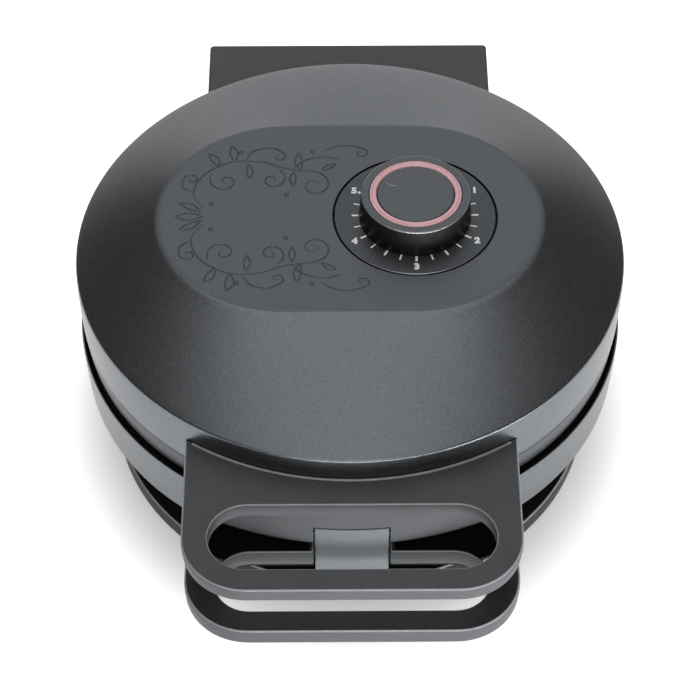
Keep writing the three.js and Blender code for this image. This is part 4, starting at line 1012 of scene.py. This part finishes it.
handle = dict(
    width=143.6, corner=28, cornerSteps=20, rearSteps=40, slotSteps=24,
    split=2.9, step=0.35, topEdge=1.1, topSteps=6, slotEdge=0.9, paintedBand=0.5, lowEdge=0.7,
    bead=1.3, beadInset=0.6,
    upperFront=183.2, upperThick=7.5, upperRear=125.1, upperHalf=60.6, upperSlot=(138.9, 171.8),
    lowerFront=183.2, lowerThick=8.8, lowerRear=126.2, lowerHalf=58.6, lowerSlot=(142, 172.2),
    blockHalf=60, blockTop=138.6, blockLow=141, blockRound=3.0,
    pocketHalf=16.6, pocketFront=160, pocketRear=131.6, pocketTop=84.9, pocketLow=60,
    notchHalf=16.6, notchRear=132.6, notchWall=2.0,
    webHalf=57, webRadius=134, webLow=50.3, webPocket=128.4, webPocketLow=40, seatGap=0.05,
    floorReach=150, floorThick=1.6, floorHalf=66.5, rim=1.1, rimLap=0.3,
    hollowHalf=65.4, hollowTurn=35, hollowSteps=16,
)
cutterFront, cutterHalf, sectorReach = 200, 90, 300  # how far cutters reach past the handles and the hinge


def handleLoop(rear, reach):
    h = handle
    half = h["width"] / 2
    start = math.degrees(math.atan2(-math.sqrt(rear ** 2 - half ** 2), half))
    rearArc = arcPoints(rear, start, -180 - start, h["rearSteps"])
    front = [(-half, -reach, h["corner"]), (half, -reach, h["corner"])]
    corners = [tuple(rearArc[-1]), *front, tuple(rearArc[0])]
    return rounded(corners, closed=False, steps=h["cornerSteps"])[:-1] + rearArc[:-1]


def slotLoop(near, far, half):
    width = far - near
    return ovalLoop(half - width / 2, width, -(near + far) / 2, handle["slotSteps"])


# From the lower face up: a small round, the drawn-in lower part, the step line, and the top edge's round.
def handleProfile(top, thick):
    h = handle
    split = top - h["split"]
    low = [(inset + h["step"], level) for inset, level in softEdge(h["lowEdge"], top - thick, True)]
    stepLine = [(h["step"], split - 0.15), (0.0, split + 0.1)]
    return low + stepLine + softEdge(h["topEdge"], top, False, h["topSteps"])


# The slot's edge is rounder on top, where the fingers go in.
def slotProfile(top, thick):
    h = handle
    return softEdge(h["lowEdge"], top - thick, True) + softEdge(h["slotEdge"], top, False, h["topSteps"])


def barHandle(name, top, thick, rear, front, opening):
    made = slab(name, handleLoop(rear, front), [opening], handleProfile(top, thick), grainedNylon,
                holeProfile=slotProfile(top, thick))
    # The top edge and the slot's rim get a painted highlight.
    paintBandNearLevel(made, top, handle["paintedBand"], paintedHighlightNylon)
    return made


# A turned ring kept only within half of its width, at the front (side -1) or the rear (side 1)
def sector(name, corners, half, finish, side=-1):
    ring = lathe(name, corners, finish)
    near, far = (-sectorReach, 0) if side < 0 else (0, sectorReach)
    return combine(ring, block("keep", (-half, near, 0), (half, far, sectorReach), finish), "INTERSECT")


def acrossOf(point):
    return point.x


def makeUpperHandle():
    h = handle
    top, low, rear = upperHandleTop, upperHandleTop - h["upperThick"], h["upperRear"]
    opening = slotLoop(*h["upperSlot"], h["upperHalf"])
    made = barHandle("upper_bar_handle", top, h["upperThick"], rear, h["upperFront"], opening)
    # A bead along the rear edge, in painted highlight, makes the bright line there.
    arc = handleLoop(rear + h["bead"] / 2, h["upperFront"])
    back = [p for p in arc if p.length < rear + h["bead"] and abs(p.x) < h["width"] / 2 - h["beadInset"]]
    bead = beads("handle_rear_bead", [sorted(back, key=acrossOf)], top, h["bead"], paintedHighlightNylon, 1.0)
    settle(bead, "lid", [])
    corners = [
        (rear, lidLevel), (h["blockLow"], lidLevel, h["blockRound"]),
        (h["blockTop"] - 0.5, low + 1), (rear, low + 1),
    ]
    wall = sector("block", rounded(corners), h["blockHalf"], grainedNylon)
    pocketNear = (-h["pocketHalf"], -h["pocketFront"], h["pocketLow"])
    pocketFar = (h["pocketHalf"], -h["pocketRear"], h["pocketTop"])
    join(made, cut(wall, block("pocket", pocketNear, pocketFar, grainedNylon)))
    return settle(made, "lid", ["upper_handle"])


# The hollow between the bowl and the slot's rim, on the right of the latch
def hollowLoop():
    h = handle
    near, far = h["lowerSlot"]
    radius = (far - near) / 2
    centre = (h["lowerHalf"] - radius, -(near + far) / 2)
    corner = arcPoints(radius + h["rim"], 90, h["hollowTurn"], 12, centre)
    start, end = h["notchHalf"] + h["notchWall"], h["hollowHalf"]
    rear, steps = h["lowerRear"] - 1, h["hollowSteps"]
    across = [end + (start - end) * i / steps for i in range(steps + 1)]
    arc = [Vector((x, -math.sqrt(rear ** 2 - x ** 2))) for x in across]
    return [Vector((start, -near + h["rim"])), *corner, Vector((end, corner[-1].y))] + arc


# What the floor under the hollow leaves free: the slot with its rim, and all in front of the slot's middle
def floorCutters(low):
    h = handle
    near, far = h["lowerSlot"]
    under, over = low - 20, low + 5
    rim, lap = h["rim"], h["rimLap"]
    slot = slotLoop(near - rim + lap, far + rim, h["lowerHalf"] + rim - lap)
    slotCutter = slab("slot", slot, [], [(0, under), (0, over)], paintedShadeBlack)
    frontFar = (cutterHalf, -(near + far) / 2 + 4, over)
    return slotCutter, block("front", (-cutterHalf, -cutterFront, under), frontFar, paintedShadeBlack)


def makeLowerHandle():
    h = handle
    top, low, rear = lowerHandleTop, lowerHandleTop - h["lowerThick"], h["lowerRear"]
    near, far = h["lowerSlot"]
    notch, depth = h["notchHalf"], h["notchRear"]
    oval = slotLoop(near, far, h["lowerHalf"])
    right, left = oval[:h["slotSteps"] + 1], oval[h["slotSteps"] + 1:]
    bite = [
        (right[-1].x, -near), (notch, -near, 1.2), (notch, -depth, 1.0),
        (-notch, -depth, 1.0), (-notch, -near, 1.2), (left[0].x, -near),
    ]
    opening = right[:-1] + rounded(bite, closed=False) + left[1:]
    made = barHandle("lower_bar_handle", top, h["lowerThick"], rear, h["lowerFront"], opening)
    # The lower bar's top faces are painted shade, for the shade under the upper bar.
    paintBandNearLevel(made, top, 0.1, paintedShadeNylon, 1.1, 0.97)
    for side in (-1, 1):
        loop = [Vector((side * p.x, p.y)) for p in hollowLoop()]
        cut(made, slab("hollow", loop, [], [(0, low - 1), (0, top + 1)], paintedShadeBlack))
    seat = low - h["seatGap"]
    corners = [(rear, h["webLow"]), (h["webRadius"], h["webLow"], 1.5), (h["webRadius"], seat), (rear, seat)]
    # The web and the floor under the hollows are painted shade black, for the shade between the bowl and the
    # bar.
    web = sector("handle_web", rounded(corners), h["webHalf"], paintedShadeBlack)
    under = low - h["floorThick"]
    profile = [(rear, under), (h["floorReach"], under), (h["floorReach"], seat), (rear, seat)]
    join(web, cut(sector("floor", profile, h["floorHalf"], paintedShadeBlack), *floorCutters(low)))
    pocketNear, pocketFar = (-notch, -h["pocketFront"], h["webPocketLow"]), (notch, -h["webPocket"], low)
    cut(web, block("pocket", pocketNear, pocketFar, paintedShadeBlack))
    settle(web, "base", [])
    return settle(made, "base", ["lower_handle"])


makeUpperHandle()
makeLowerHandle()
print("handles done")


# Latch: a plate flush with the handle's block, its eye round the pin, and a lip that catches under the
# lower bar

latch = dict(
    half=15.9, face=141, thick=3.8, top=84.2, low=53.6, lowRound=1.9,
    eye=3.0, pivotDown=5.0, pivotReach=136.9, lip=3.0, lipTop=61.6, soft=0.35,
)


# The section is turned about the lid's axis, so that the plate follows the block's curve.
def makeLatch():
    k = latch
    back = k["face"] - k["thick"]
    pivot = k["top"] - k["pivotDown"]
    draw = (handle["blockLow"] - handle["blockTop"]) / (upperHandleTop - handle["upperThick"] - lidLevel)
    topReach = k["face"] - draw * (k["top"] - lidLevel)
    eye = arcPoints(k["eye"], 150, 220, 8, (k["pivotReach"], pivot))
    lipReach = back - k["lip"]
    corners = [
        (eye[-1].x, eye[-1].y), (back, pivot - k["eye"], 0.5), (back, k["lipTop"] + 0.3, 0.4),
        (lipReach, k["lipTop"], 0.3), (lipReach, k["lipTop"] - k["lip"] / 2, 0.5),
        (back - k["lip"] / 2, k["low"], 0.5), (k["face"] - k["lowRound"], k["low"], 0.6),
        (k["face"], k["low"] + k["lowRound"], 0.6), (k["face"], lidLevel, 2.0),
        (topReach, k["top"], 0.6), (back + 0.8, k["top"], 1.2), (eye[0].x, eye[0].y),
    ]
    section = rounded(corners, closed=False)[:-1] + eye[:-1]
    made = sector("latch_plate", section, k["half"], latchNylon)
    soften(made, k["soft"])
    return settle(made, "latch", ["latch"])


makeLatch()


# Hinge: the cover on the lid and the bracket on the bowl. The pins stay as the CAD has them.

hinge = dict(
    half=69.25, front=60, rear=152, corner=2.0, lowEdge=0.6, topEdge=1.2, wall=3, level=70, axis=138,
    shellLow=75, skirtLow=40, skirtTop=138, barrel=9, sweepGap=1.6, headBore=5.3, boreDepth=2.8, lidRise=4,
    cheek=10, cheekWidth=13.2, cheekInset=0.8, cheekRise=1.6,
    bracketRear=126.2, bracketThick=6, bracketHeight=22, bracketGap=0.3, armFrom=100, armEdge=0.4,
    bowlLow=20, bowlTop=120,
)


def axleHole(name, radius, low, high, finish):
    outline = circle(radius, (hinge["axis"], hinge["level"]))
    return slab(name, outline, [], [(0, low), (0, high)], finish, sideways)


def makeHingeCover():
    h = hinge
    top, rear, axis = upperHandleTop, h["rear"], h["axis"]
    half, inner = h["half"], h["half"] - h["cheekWidth"]
    front, corner = h["front"], h["corner"]
    outline = rounded([(half, front), (half, rear, corner), (-half, rear, corner), (-half, front)])
    profile = softEdge(h["lowEdge"], h["shellLow"], True) + softEdge(h["topEdge"], top, False, 6)
    made = slab("hinge_hood", outline, [], profile, grainedNylon)
    cut(made, block("hollow", (-inner, 0, 0), (inner, rear - h["wall"], top - h["wall"]), grainedNylon))
    over = h["shellLow"] + h["cheekRise"]
    arm = rounded([(axis - h["cheek"], over), (axis + h["cheek"], over)], closed=False)
    arm += arcPoints(h["cheek"], 0, -180, 24, (axis, h["level"]))
    bores = []
    for side in (-1, 1):
        low, high = sorted((side * inner, side * (half - h["cheekInset"])))
        join(made, slab("cheek", arm, [], [(0, low), (0, high)], grainedNylon, sideways))
        low, high = sorted((side * (half - h["boreDepth"]), side * cutterHalf))
        bores.append(axleHole("bore", h["headBore"], low, high, grainedNylon))
    rim = handle["upperRear"]
    skirt = [(0, h["skirtLow"]), (rim, h["skirtLow"]), (rim, h["skirtTop"]), (0, h["skirtTop"])]
    around = lathe("skirt", skirt, grainedNylon)
    sweep = axleHole("sweep", h["barrel"] + h["sweepGap"], -inner, inner, grainedNylon)
    underFar = (cutterHalf, axis - h["cheek"], lidLevel + h["lidRise"])
    under = block("under", (-cutterHalf, 0, 0), underFar, grainedNylon)
    cut(made, around, sweep, under, *bores)
    return settle(made, "lid", ["hinge_cover"])


def makeHingeBracket():
    h = hinge
    half = h["half"] - h["cheekWidth"] - h["bracketGap"]
    near, far = h["bracketRear"], h["bracketRear"] + h["bracketThick"]
    low = housingTop - h["bracketHeight"]
    corners = [(near, low, 0.6), (far, low, 1.5), (far, housingTop, 0.8), (near, housingTop, 0.4)]
    foot = sector("bracket_foot", rounded(corners), half, grainedNylon, 1)
    level, barrel = h["level"], h["barrel"]
    arm = [Vector((h["armFrom"], level - barrel)), *arcPoints(barrel, -90, 90, 32, (h["axis"], level))]
    arm += [Vector((h["axis"] - 4, level + barrel)), Vector((near - 2, level + barrel / 2))]
    arm += [Vector((h["armFrom"], level + barrel / 2))]
    edge = h["armEdge"]
    profile = [(edge, -half), (0, -half + edge), (0, half - edge), (edge, half)]
    made = slab("hinge_knuckle", arm, [], profile, grainedNylon, sideways)
    bowl = [(0, h["bowlLow"]), (near, h["bowlLow"]), (near, h["bowlTop"]), (0, h["bowlTop"])]
    cut(made, lathe("bowl", bowl, grainedNylon))
    join(made, foot)
    return settle(made, "base", ["hinge_bracket"])


makeHingeCover()
makeHingeBracket()
print("latch and hinge done")


# Dial: the scale disc, its ticks and numbers, and the knob with its light ring

dial = dict(
    radius=36.3, low=132.9, edge=0.7, bore=5.3,
    tickRadius=27.0, tickLength=3.0, tickHeight=0.06, tickSink=0.02, tickStep=30,
    numberRadius=31.6, numberSize=3.6, fontScale=1.35, numberBold=0.3,
    dotRadius=0.75, dotTurn=150, dotReach=28.9,
)
tickGroups = dict(major=(1.0, 7, -180), minor=(0.72, 8, -195))  # width, count and first turn
scaleMarks = [("1", 30), ("2", -30), ("3", -90), ("4", -150), ("5", 150)]


def makeDial():
    d = dial
    top, low, high = plateauLevel, plateauLevel - d["tickSink"], plateauLevel + d["tickHeight"]
    bore, radius = d["bore"], d["radius"]
    corners = [(bore, d["low"]), (radius, d["low"]), (radius, top, d["edge"]), (bore, top)]
    disc = lathe("dial_disc", rounded(corners), scaleLacquer, (dialX, 0))
    # The disc's rim is a painted highlight.
    paintBandNearLevel(disc, top, d["edge"], paintedHighlightEdge, 0.93, 0.35)
    settle(disc, "lid", ["dial_plate"])
    for kind, (width, count, first) in tickGroups.items():
        half = d["tickLength"] / 2
        bar = block("bar", (-half, -width / 2, -d["tickSink"]), (half, width / 2, d["tickHeight"]), whiteInk)
        ticks = ringOf("scale_ticks_" + kind, bar, whiteInk, count,
                       d["tickRadius"], top, first, d["tickStep"], dialX)
        settle(ticks, "lid", [])
    profile = [(0, low), (d["dotRadius"], low), (d["dotRadius"], high), (0, high)]
    dot = lathe("scale_dot", profile, whiteInk, polar(d["dotReach"], d["dotTurn"], dialX), mesh["tiny"])
    settle(dot, "lid", [])


def makeNumber(text, turn):
    d = dial
    data = bpy.data.curves.new("scale_number_" + text, "FONT")
    data.body = text
    data.size = d["numberSize"] * mm * d["fontScale"]
    data.align_x, data.align_y = "CENTER", "CENTER"
    data.extrude = d["tickHeight"] * mm
    data.offset = d["numberBold"] * mm
    source = bpy.data.objects.new("number_text", data)
    bpy.context.scene.collection.objects.link(source)
    graph = bpy.context.evaluated_depsgraph_get()
    result = bpy.data.meshes.new_from_object(source.evaluated_get(graph))
    bpy.data.objects.remove(source)
    result.name = "scale_number_" + text
    spans = [[v.co[k] for v in result.vertices] for k in (0, 1)]
    middle = Vector([(min(span) + max(span)) / 2 for span in spans] + [0])
    spot = placed(*polar(d["numberRadius"], turn, dialX), plateauLevel)
    result.transform(Matrix.Translation(spot - middle))
    result.materials.clear()
    result.materials.append(whiteInk)
    made = bpy.data.objects.new("scale_number_" + text, result)
    bpy.context.scene.collection.objects.link(made)
    return settle(made, "lid", [])


makeDial()
for text, turn in scaleMarks:
    makeNumber(text, turn)

knob = dict(
    low=134.3, top=147.8, lowRadius=25.3, topRadius=24.3, wall=2.2, edge=0.55, rimWidth=1.5, proud=0.3,
    roofDrop=4.6, guideOuter=20.6, guideInner=17.5, guideDepth=2.5, guideGap=0.25, capGap=0.3,
    guideGroove=19.5, grooveHalf=0.35, grooveDepth=0.5,
    pointer=(9.8, 16.2), pointerThick=0.5, pointerTurn=150, pointerBow=0.09, pointerSteps=8,
)


def makeKnob():
    k = knob
    high, top = k["top"], k["top"] - k["proud"]
    low = high - k["guideDepth"]
    floor, roof = low - 0.3, top - k["roofDrop"]
    well, around = k["guideOuter"] + k["guideGap"], mesh["knobAround"]
    corners = [
        (0, floor), (well, floor), (well, top, 0.2), (k["topRadius"], top, k["edge"]),
        (k["lowRadius"], k["low"], 0.5), (k["lowRadius"] - k["wall"], k["low"]),
        (k["topRadius"] - k["wall"], roof), (0, roof),
    ]
    body = lathe("knob_body", rounded(corners, closed=False), polishedAbs, (dialX, 0), around)

    def onTop(face):
        return face.center.z / mm > top - k["edge"]

    def onEdge(face):
        return onTop(face) and face.normal.z <= 0.97 and outOf(face, dialX) > k["topRadius"] - k["rimWidth"]

    paint(body, etchedLacquer, onTop)
    # The top's rim is a painted highlight.
    paint(body, paintedHighlightEdge, onEdge)
    settle(body, "knob", ["knob"])
    groove, half = k["guideGroove"], k["grooveHalf"]
    corners = [
        (k["guideInner"], low), (k["guideOuter"], low), (k["guideOuter"], high, 0.9),
        (groove + half, high, 0.3), (groove, high - k["grooveDepth"], 0.1), (groove - half, high, 0.3),
        (k["guideInner"], high, 0.9),
    ]
    guide = lathe("knob_guide_ring", rounded(corners), lightGuide, (dialX, 0), around)
    settle(guide, "knob", ["knob_light_ring"])
    radius = k["guideInner"] - k["capGap"]
    corners = [(0, low), (radius, low), (radius, top, 0.4), (0, top)]
    cap = lathe("knob_cap_disc", rounded(corners, closed=False), etchedLacquer, (dialX, 0), around)
    settle(cap, "knob", ["knob_cap"])
    near, far = k["pointer"]
    line = []
    for i in range(k["pointerSteps"] + 1):
        share = i / k["pointerSteps"]
        turn = k["pointerTurn"] + math.degrees(k["pointerBow"] * math.sin(math.pi * share))
        line.append(polar(near + (far - near) * share, turn, dialX))
    # The pointer is a real mark, drawn in a painted highlight.
    pointer = beads("knob_pointer", [line], top, k["pointerThick"], paintedHighlightEdge, 0.4)
    settle(pointer, "knob", [])


makeKnob()
print("dial and knob done")


# Baking plates: cast discs with a drip groove and a krumkake pattern of ridges

plate = dict(
    radius=109.6, face=1.0, thick=6, edgeThick=7.5, edgeRadius=104.9, backRadius=101.8,
    grooveOuter=104, grooveInner=99.2, grooveDepth=1.5, grooveSlope=0.8,
    ridge=0.55, ridgeWidth=1.4, ringRadii=(10, 62, 95.5),
    patternThick=1.1, petals=8, petal=(13, 57, 9.5), innerPetal=(20, 50, 3.6), sidePetal=(30, 58, 4.0),
    scallops=16, scallopAt=73, scallopReach=13.2, scallopTurn=80, bud=(78, 93, 2.6),
)


def spoke(turn, near, far, width):
    way = Vector((math.cos(turn), math.sin(turn)))
    return leaf(way * near, way * far, width)


# Petals round the middle, smaller ones between them, and scallops with buds outside the ring
def patternLines():
    p = plate
    lines = []
    for k in range(p["petals"]):
        turn = 2 * math.pi * k / p["petals"]
        lines += spoke(turn, *p["petal"]) + spoke(turn, *p["innerPetal"])
        lines += spoke(turn + math.pi / p["petals"], *p["sidePetal"])
    for k in range(p["scallops"]):
        angle = 360 * (k + 0.5) / p["scallops"]
        start, end = angle - p["scallopTurn"], angle + p["scallopTurn"]
        lines.append(arcPoints(p["scallopReach"], start, end, 16, polar(p["scallopAt"], angle)))
        lines += spoke(math.radians(angle), *p["bud"])
    return lines


# side is 1 for the lid's plate, which faces down, and -1 for the base's.
def makePlate(name, side, body, node):
    p = plate
    face, crest, groove, back, edgeBack = (parting + side * (p["face"] + h) for h in (
        0, -p["ridge"], p["grooveDepth"], p["thick"], p["edgeThick"]))
    width, slope = p["ridgeWidth"], p["grooveSlope"]
    corners = [(0, face)]
    for radius in p["ringRadii"]:
        corners += [
            (radius - width, face, 0.3), (radius - width / 2, crest, 0.3),
            (radius + width / 2, crest, 0.3), (radius + width, face, 0.3),
        ]
    corners += [
        (p["grooveInner"], face, 0.5), (p["grooveInner"] + slope, groove, 0.4),
        (p["grooveOuter"] - slope, groove, 0.4), (p["grooveOuter"], face, 0.5),
        (p["radius"], face, 0.8), (p["radius"], edgeBack), (p["edgeRadius"], edgeBack),
        (p["backRadius"], back), (0, back),
    ]
    made = lathe(name, rounded(corners, closed=False, steps=3), coatedCasting)
    pattern = beads(name + "_pattern", patternLines(), face, p["patternThick"], coatedCasting)
    settle(pattern, body, [])
    return settle(made, body, [node])


makePlate("lower_baking_plate", -1, "base", "lower_plate")
makePlate("upper_baking_plate", 1, "lid", "upper_plate")
print("plates done")


# Screws: one cross-recess pan head with its shank, set on each place of a group by Geometry Nodes

# tip, taper and recess are shares of the shank's and the head's radius.
screw = dict(
    headHeight=1.9, dome=0.9, domeTurn=0.26, domeSteps=5, tip=0.6, taper=0.7,
    recess=0.52, recessWidth=0.9, recessDepth=1.1,
)


def screwTree():
    sizes = dict(Rotation=("Vector", (0, 0, 0)), Shape=("Object", None), Material=("Material", None))
    tree, given = newTree("screws on points", sizes)
    shape = addNode(tree, "GeometryNodeObjectInfo", None, Object=given["Shape"]).outputs["Geometry"]
    copies = addNode(tree, "GeometryNodeInstanceOnPoints", None,
                     Points=given["Geometry"], Instance=shape, Rotation=given["Rotation"])
    return endTree(tree, copies.outputs[0], given["Material"])


onPoints = screwTree()


# Where a screw's head is: its middle, its axis, the way that it faces, its length, and the radii of
# head and shank
def readScrew(node):
    low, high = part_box(node)
    spans = [b - a for a, b in zip(low, high)]
    axis = spans.index(max(spans))
    middle = [(a + b) / 2 for a, b in zip(low, high)]
    others = [i for i in range(3) if i != axis]
    radii = []
    spots = [v.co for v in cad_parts[node].data.vertices]
    for end in (low[axis], high[axis]):
        near = [spot for spot in spots if abs(spot[axis] - end) < spans[axis] * 0.05]
        radii.append(max(math.dist([c[i] for i in others], [middle[i] for i in others]) for c in near))
    side = 1 if radii[1] > radii[0] else -1
    head = list(middle)
    head[axis] = high[axis] if side > 0 else low[axis]
    return Vector(head), axis, side, spans[axis] / mm, max(radii) / mm, min(radii) / mm


def makeScrewShape(length, headRadius, shankRadius):
    s = screw
    under = -s["headHeight"]
    turns = [k * s["domeTurn"] for k in range(1, s["domeSteps"] + 1)]
    dome = [(headRadius * math.cos(turn), -s["dome"] * (1 - math.sin(turn))) for turn in turns]
    profile = [
        (0, -length), (shankRadius * s["tip"], -length), (shankRadius, -length + shankRadius * s["taper"]),
        (shankRadius, under), (headRadius, under), (headRadius, -s["dome"]), *dome, (0, 0),
    ]
    made = lathe("screw", profile, zincSteel, steps=mesh["tiny"])
    reach, half = headRadius * s["recess"], s["recessWidth"] / 2
    arm = [(half, half), (half, reach), (-half, reach)]
    cross = [Vector(p) for p in arm]
    for _ in range(3):
        cross += [Vector((-p.y, p.x)) for p in cross[-3:]]
    cut(made, slab("recess", cross, [], [(0.25, -s["recessDepth"]), (0, 0.5)], zincSteel))
    toOrigin(made)
    return made


def makeScrews(group, body, nodes):
    places = [readScrew(node) for node in nodes]
    head, axis, side, length, headRadius, shankRadius = places[0]
    shape = makeScrewShape(length, headRadius, shankRadius)
    turn = (0, 0 if side > 0 else math.pi, 0) if axis == 2 else (-side * math.pi / 2, 0, 0)
    seeds = bpy.data.meshes.new(group)
    seeds.from_pydata([place[0] for place in places], [], [])
    made = grow(group, onPoints, seeds, dict(Rotation=turn, Shape=shape, Material=zincSteel))
    bpy.data.objects.remove(shape)
    return settle(made, body, nodes)


screwGroups = [
    ("base", "base_screw", 3), ("base", "drum_screw", 3), ("base", "lower_plate_screw", 3),
    ("base", "lower_handle_screw", 2), ("base", "hinge_screw", 2), ("lid", "upper_plate_screw", 3),
    ("lid", "lid_screw", 4), ("lid", "upper_handle_screw", 2), ("lid", "hinge_cover_screw", 2),
]
for body, stem, count in screwGroups:
    makeScrews(stem + "s", body, ["%s_%d" % (stem, number) for number in range(1, count + 1)])
print("screws done")


# The solids that stay as they are get their finishes.

cadFinishes = dict(
    terminal_block=steatite, lamp_board=solderMask, thermostat=blackPolypropylene, latch_pin=paintedShadeSteel,
)


def dressNodes():
    for name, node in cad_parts.items():
        if not node.hide_render:
            node.data.materials.clear()
            node.data.materials.append(cadFinishes.get(name, zincSteel))


dressNodes()


# Studio: a white floor, soft lamps and a camera at the photograph's place

studio = dict(
    cameraBack=757.5, cameraUp=793.5, edgeLevel=112.8, lens=123.4, pitch=41.23, swing=-0.35,
    floorHalf=6.0, floorColour="#f4f4f4", shadowGlow=0.26, glowFar=1.0, shadowFrom=112, shadowTo=170,
)


def makeFloor():
    s = studio
    half = s["floorHalf"]
    data = bpy.data.meshes.new("floor")
    corners = [(-half, -half, 0), (half, -half, 0), (half, half, 0), (-half, half, 0)]
    data.from_pydata(corners, [], [(0, 1, 2, 3)])
    floor = bpy.data.objects.new("floor", data)
    bpy.context.scene.collection.objects.link(floor)
    made = bpy.data.materials.new("white_floor")
    made.use_nodes = True
    tree = made.node_tree
    tree.nodes.clear()
    path = addNode(tree, "ShaderNodeLightPath").outputs
    whitePaint = addNode(tree, "ShaderNodeBsdfDiffuse", None, Color=colour(s["floorColour"]))
    place = addNode(tree, "ShaderNodeTexCoord").outputs["Object"]
    # The glow that the camera and reflections see is dimmed near the lid's axis: a painted contact shadow
    # round the base, over the real shadow in the white paint.
    away = addNode(tree, "ShaderNodeVectorMath", {"operation": "DISTANCE"}, i0=place, i1=placed(0, 0, 0))
    strength = addNode(tree, "ShaderNodeMapRange", {"interpolation_type": "SMOOTHSTEP"},
                       Value=away.outputs["Value"], From_Min=s["shadowFrom"] * mm, From_Max=s["shadowTo"] * mm,
                       To_Min=s["shadowGlow"], To_Max=s["glowFar"]).outputs[0]
    glow = addNode(tree, "ShaderNodeEmission", None, Color=(1, 1, 1, 1), Strength=strength)
    seen = addNode(tree, "ShaderNodeMath", {"operation": "MAXIMUM"},
                   i0=path["Is Camera Ray"], i1=path["Is Glossy Ray"])
    both = addNode(tree, "ShaderNodeAddShader", None, i0=whitePaint.outputs[0], i1=glow.outputs[0])
    mix = addNode(tree, "ShaderNodeMixShader", None,
                  i0=seen.outputs[0], i1=whitePaint.outputs[0], i2=both.outputs[0])
    addNode(tree, "ShaderNodeOutputMaterial", None, Surface=mix.outputs[0])
    data.materials.append(made)


# The room is dark at the sides, with a broad pale strip from the wall behind up over the object,
# dimmer low down.
room = dict(side=0.13, strip=1.22, stripFrom=0.6, stripTo=0.1, low=0.66, lowFrom=0.05, lowTo=0.75)


def makeWorld():
    world = bpy.data.worlds.new("studio")
    bpy.context.scene.world = world
    world.use_nodes = True
    tree = world.node_tree
    tree.nodes.clear()
    path = addNode(tree, "ShaderNodeLightPath").outputs
    seen = addNode(tree, "ShaderNodeMath", {"operation": "MAXIMUM"},
                   i0=path["Is Camera Ray"], i1=path["Is Transmission Ray"])
    way = addNode(tree, "ShaderNodeTexCoord").outputs["Generated"]
    split = addNode(tree, "ShaderNodeSeparateXYZ", None, Vector=way).outputs
    offMiddle = addNode(tree, "ShaderNodeMath", {"operation": "ABSOLUTE"}, i0=split["X"]).outputs[0]
    level = addNode(tree, "ShaderNodeMapRange", {"interpolation_type": "SMOOTHSTEP"}, Value=offMiddle,
                    From_Min=room["stripTo"], From_Max=room["stripFrom"],
                    To_Min=room["strip"], To_Max=room["side"]).outputs[0]
    fade = addNode(tree, "ShaderNodeMapRange", None, Value=split["Z"],
                   From_Min=room["lowFrom"], From_Max=room["lowTo"], To_Min=room["low"]).outputs[0]
    faded = addNode(tree, "ShaderNodeMath", {"operation": "MULTIPLY"}, i0=level, i1=fade).outputs[0]
    walls = addNode(tree, "ShaderNodeBackground", None, Color=colour("#ffffff"), Strength=faded)
    white = addNode(tree, "ShaderNodeBackground", None, Color=colour("#ffffff"), Strength=1.0)
    mix = addNode(tree, "ShaderNodeMixShader", None,
                  i0=seen.outputs[0], i1=walls.outputs[0], i2=white.outputs[0])
    addNode(tree, "ShaderNodeOutputWorld", None, Surface=mix.outputs[0])


def makeLamp(name, spot, target, size, power):
    data = bpy.data.lights.new(name, "AREA")
    data.shape = "RECTANGLE"
    data.size, data.size_y = size
    data.energy = power
    lamp = bpy.data.objects.new(name, data)
    lamp.location = spot
    lamp.rotation_euler = (Vector(target) - Vector(spot)).to_track_quat("-Z", "Y").to_euler()
    bpy.context.scene.collection.objects.link(lamp)


lamps = {
    "floor_strip": dict(spot=(0.22, -0.52, 0.03), target=(0, 0, 0.09), size=(0.9, 0.06), power=3.4),
    "high_front_softbox": dict(spot=(0, -1.3, 1.4), target=(0, 0, 0.1), size=(1.0, 0.8), power=3.0),
}


def makeCamera():
    s = studio
    data = bpy.data.cameras.new("camera")
    data.lens = s["lens"]
    data.sensor_width = 36
    camera = bpy.data.objects.new("camera", data)
    turn = Matrix.Rotation(math.radians(s["swing"]), 4, "Z")
    offset = turn @ Vector((0, -s["cameraBack"] * mm, s["cameraUp"] * mm))
    camera.location = placed(0, 0, s["edgeLevel"]) + offset
    camera.rotation_euler = (math.radians(s["pitch"]), 0, math.radians(s["swing"]))
    bpy.context.scene.collection.objects.link(camera)
    bpy.context.scene.camera = camera


makeFloor()
makeWorld()
for name, lamp in lamps.items():
    makeLamp(name, **lamp)
makeCamera()
bpy.context.scene.view_settings.view_transform = "Standard"
print("studio done")
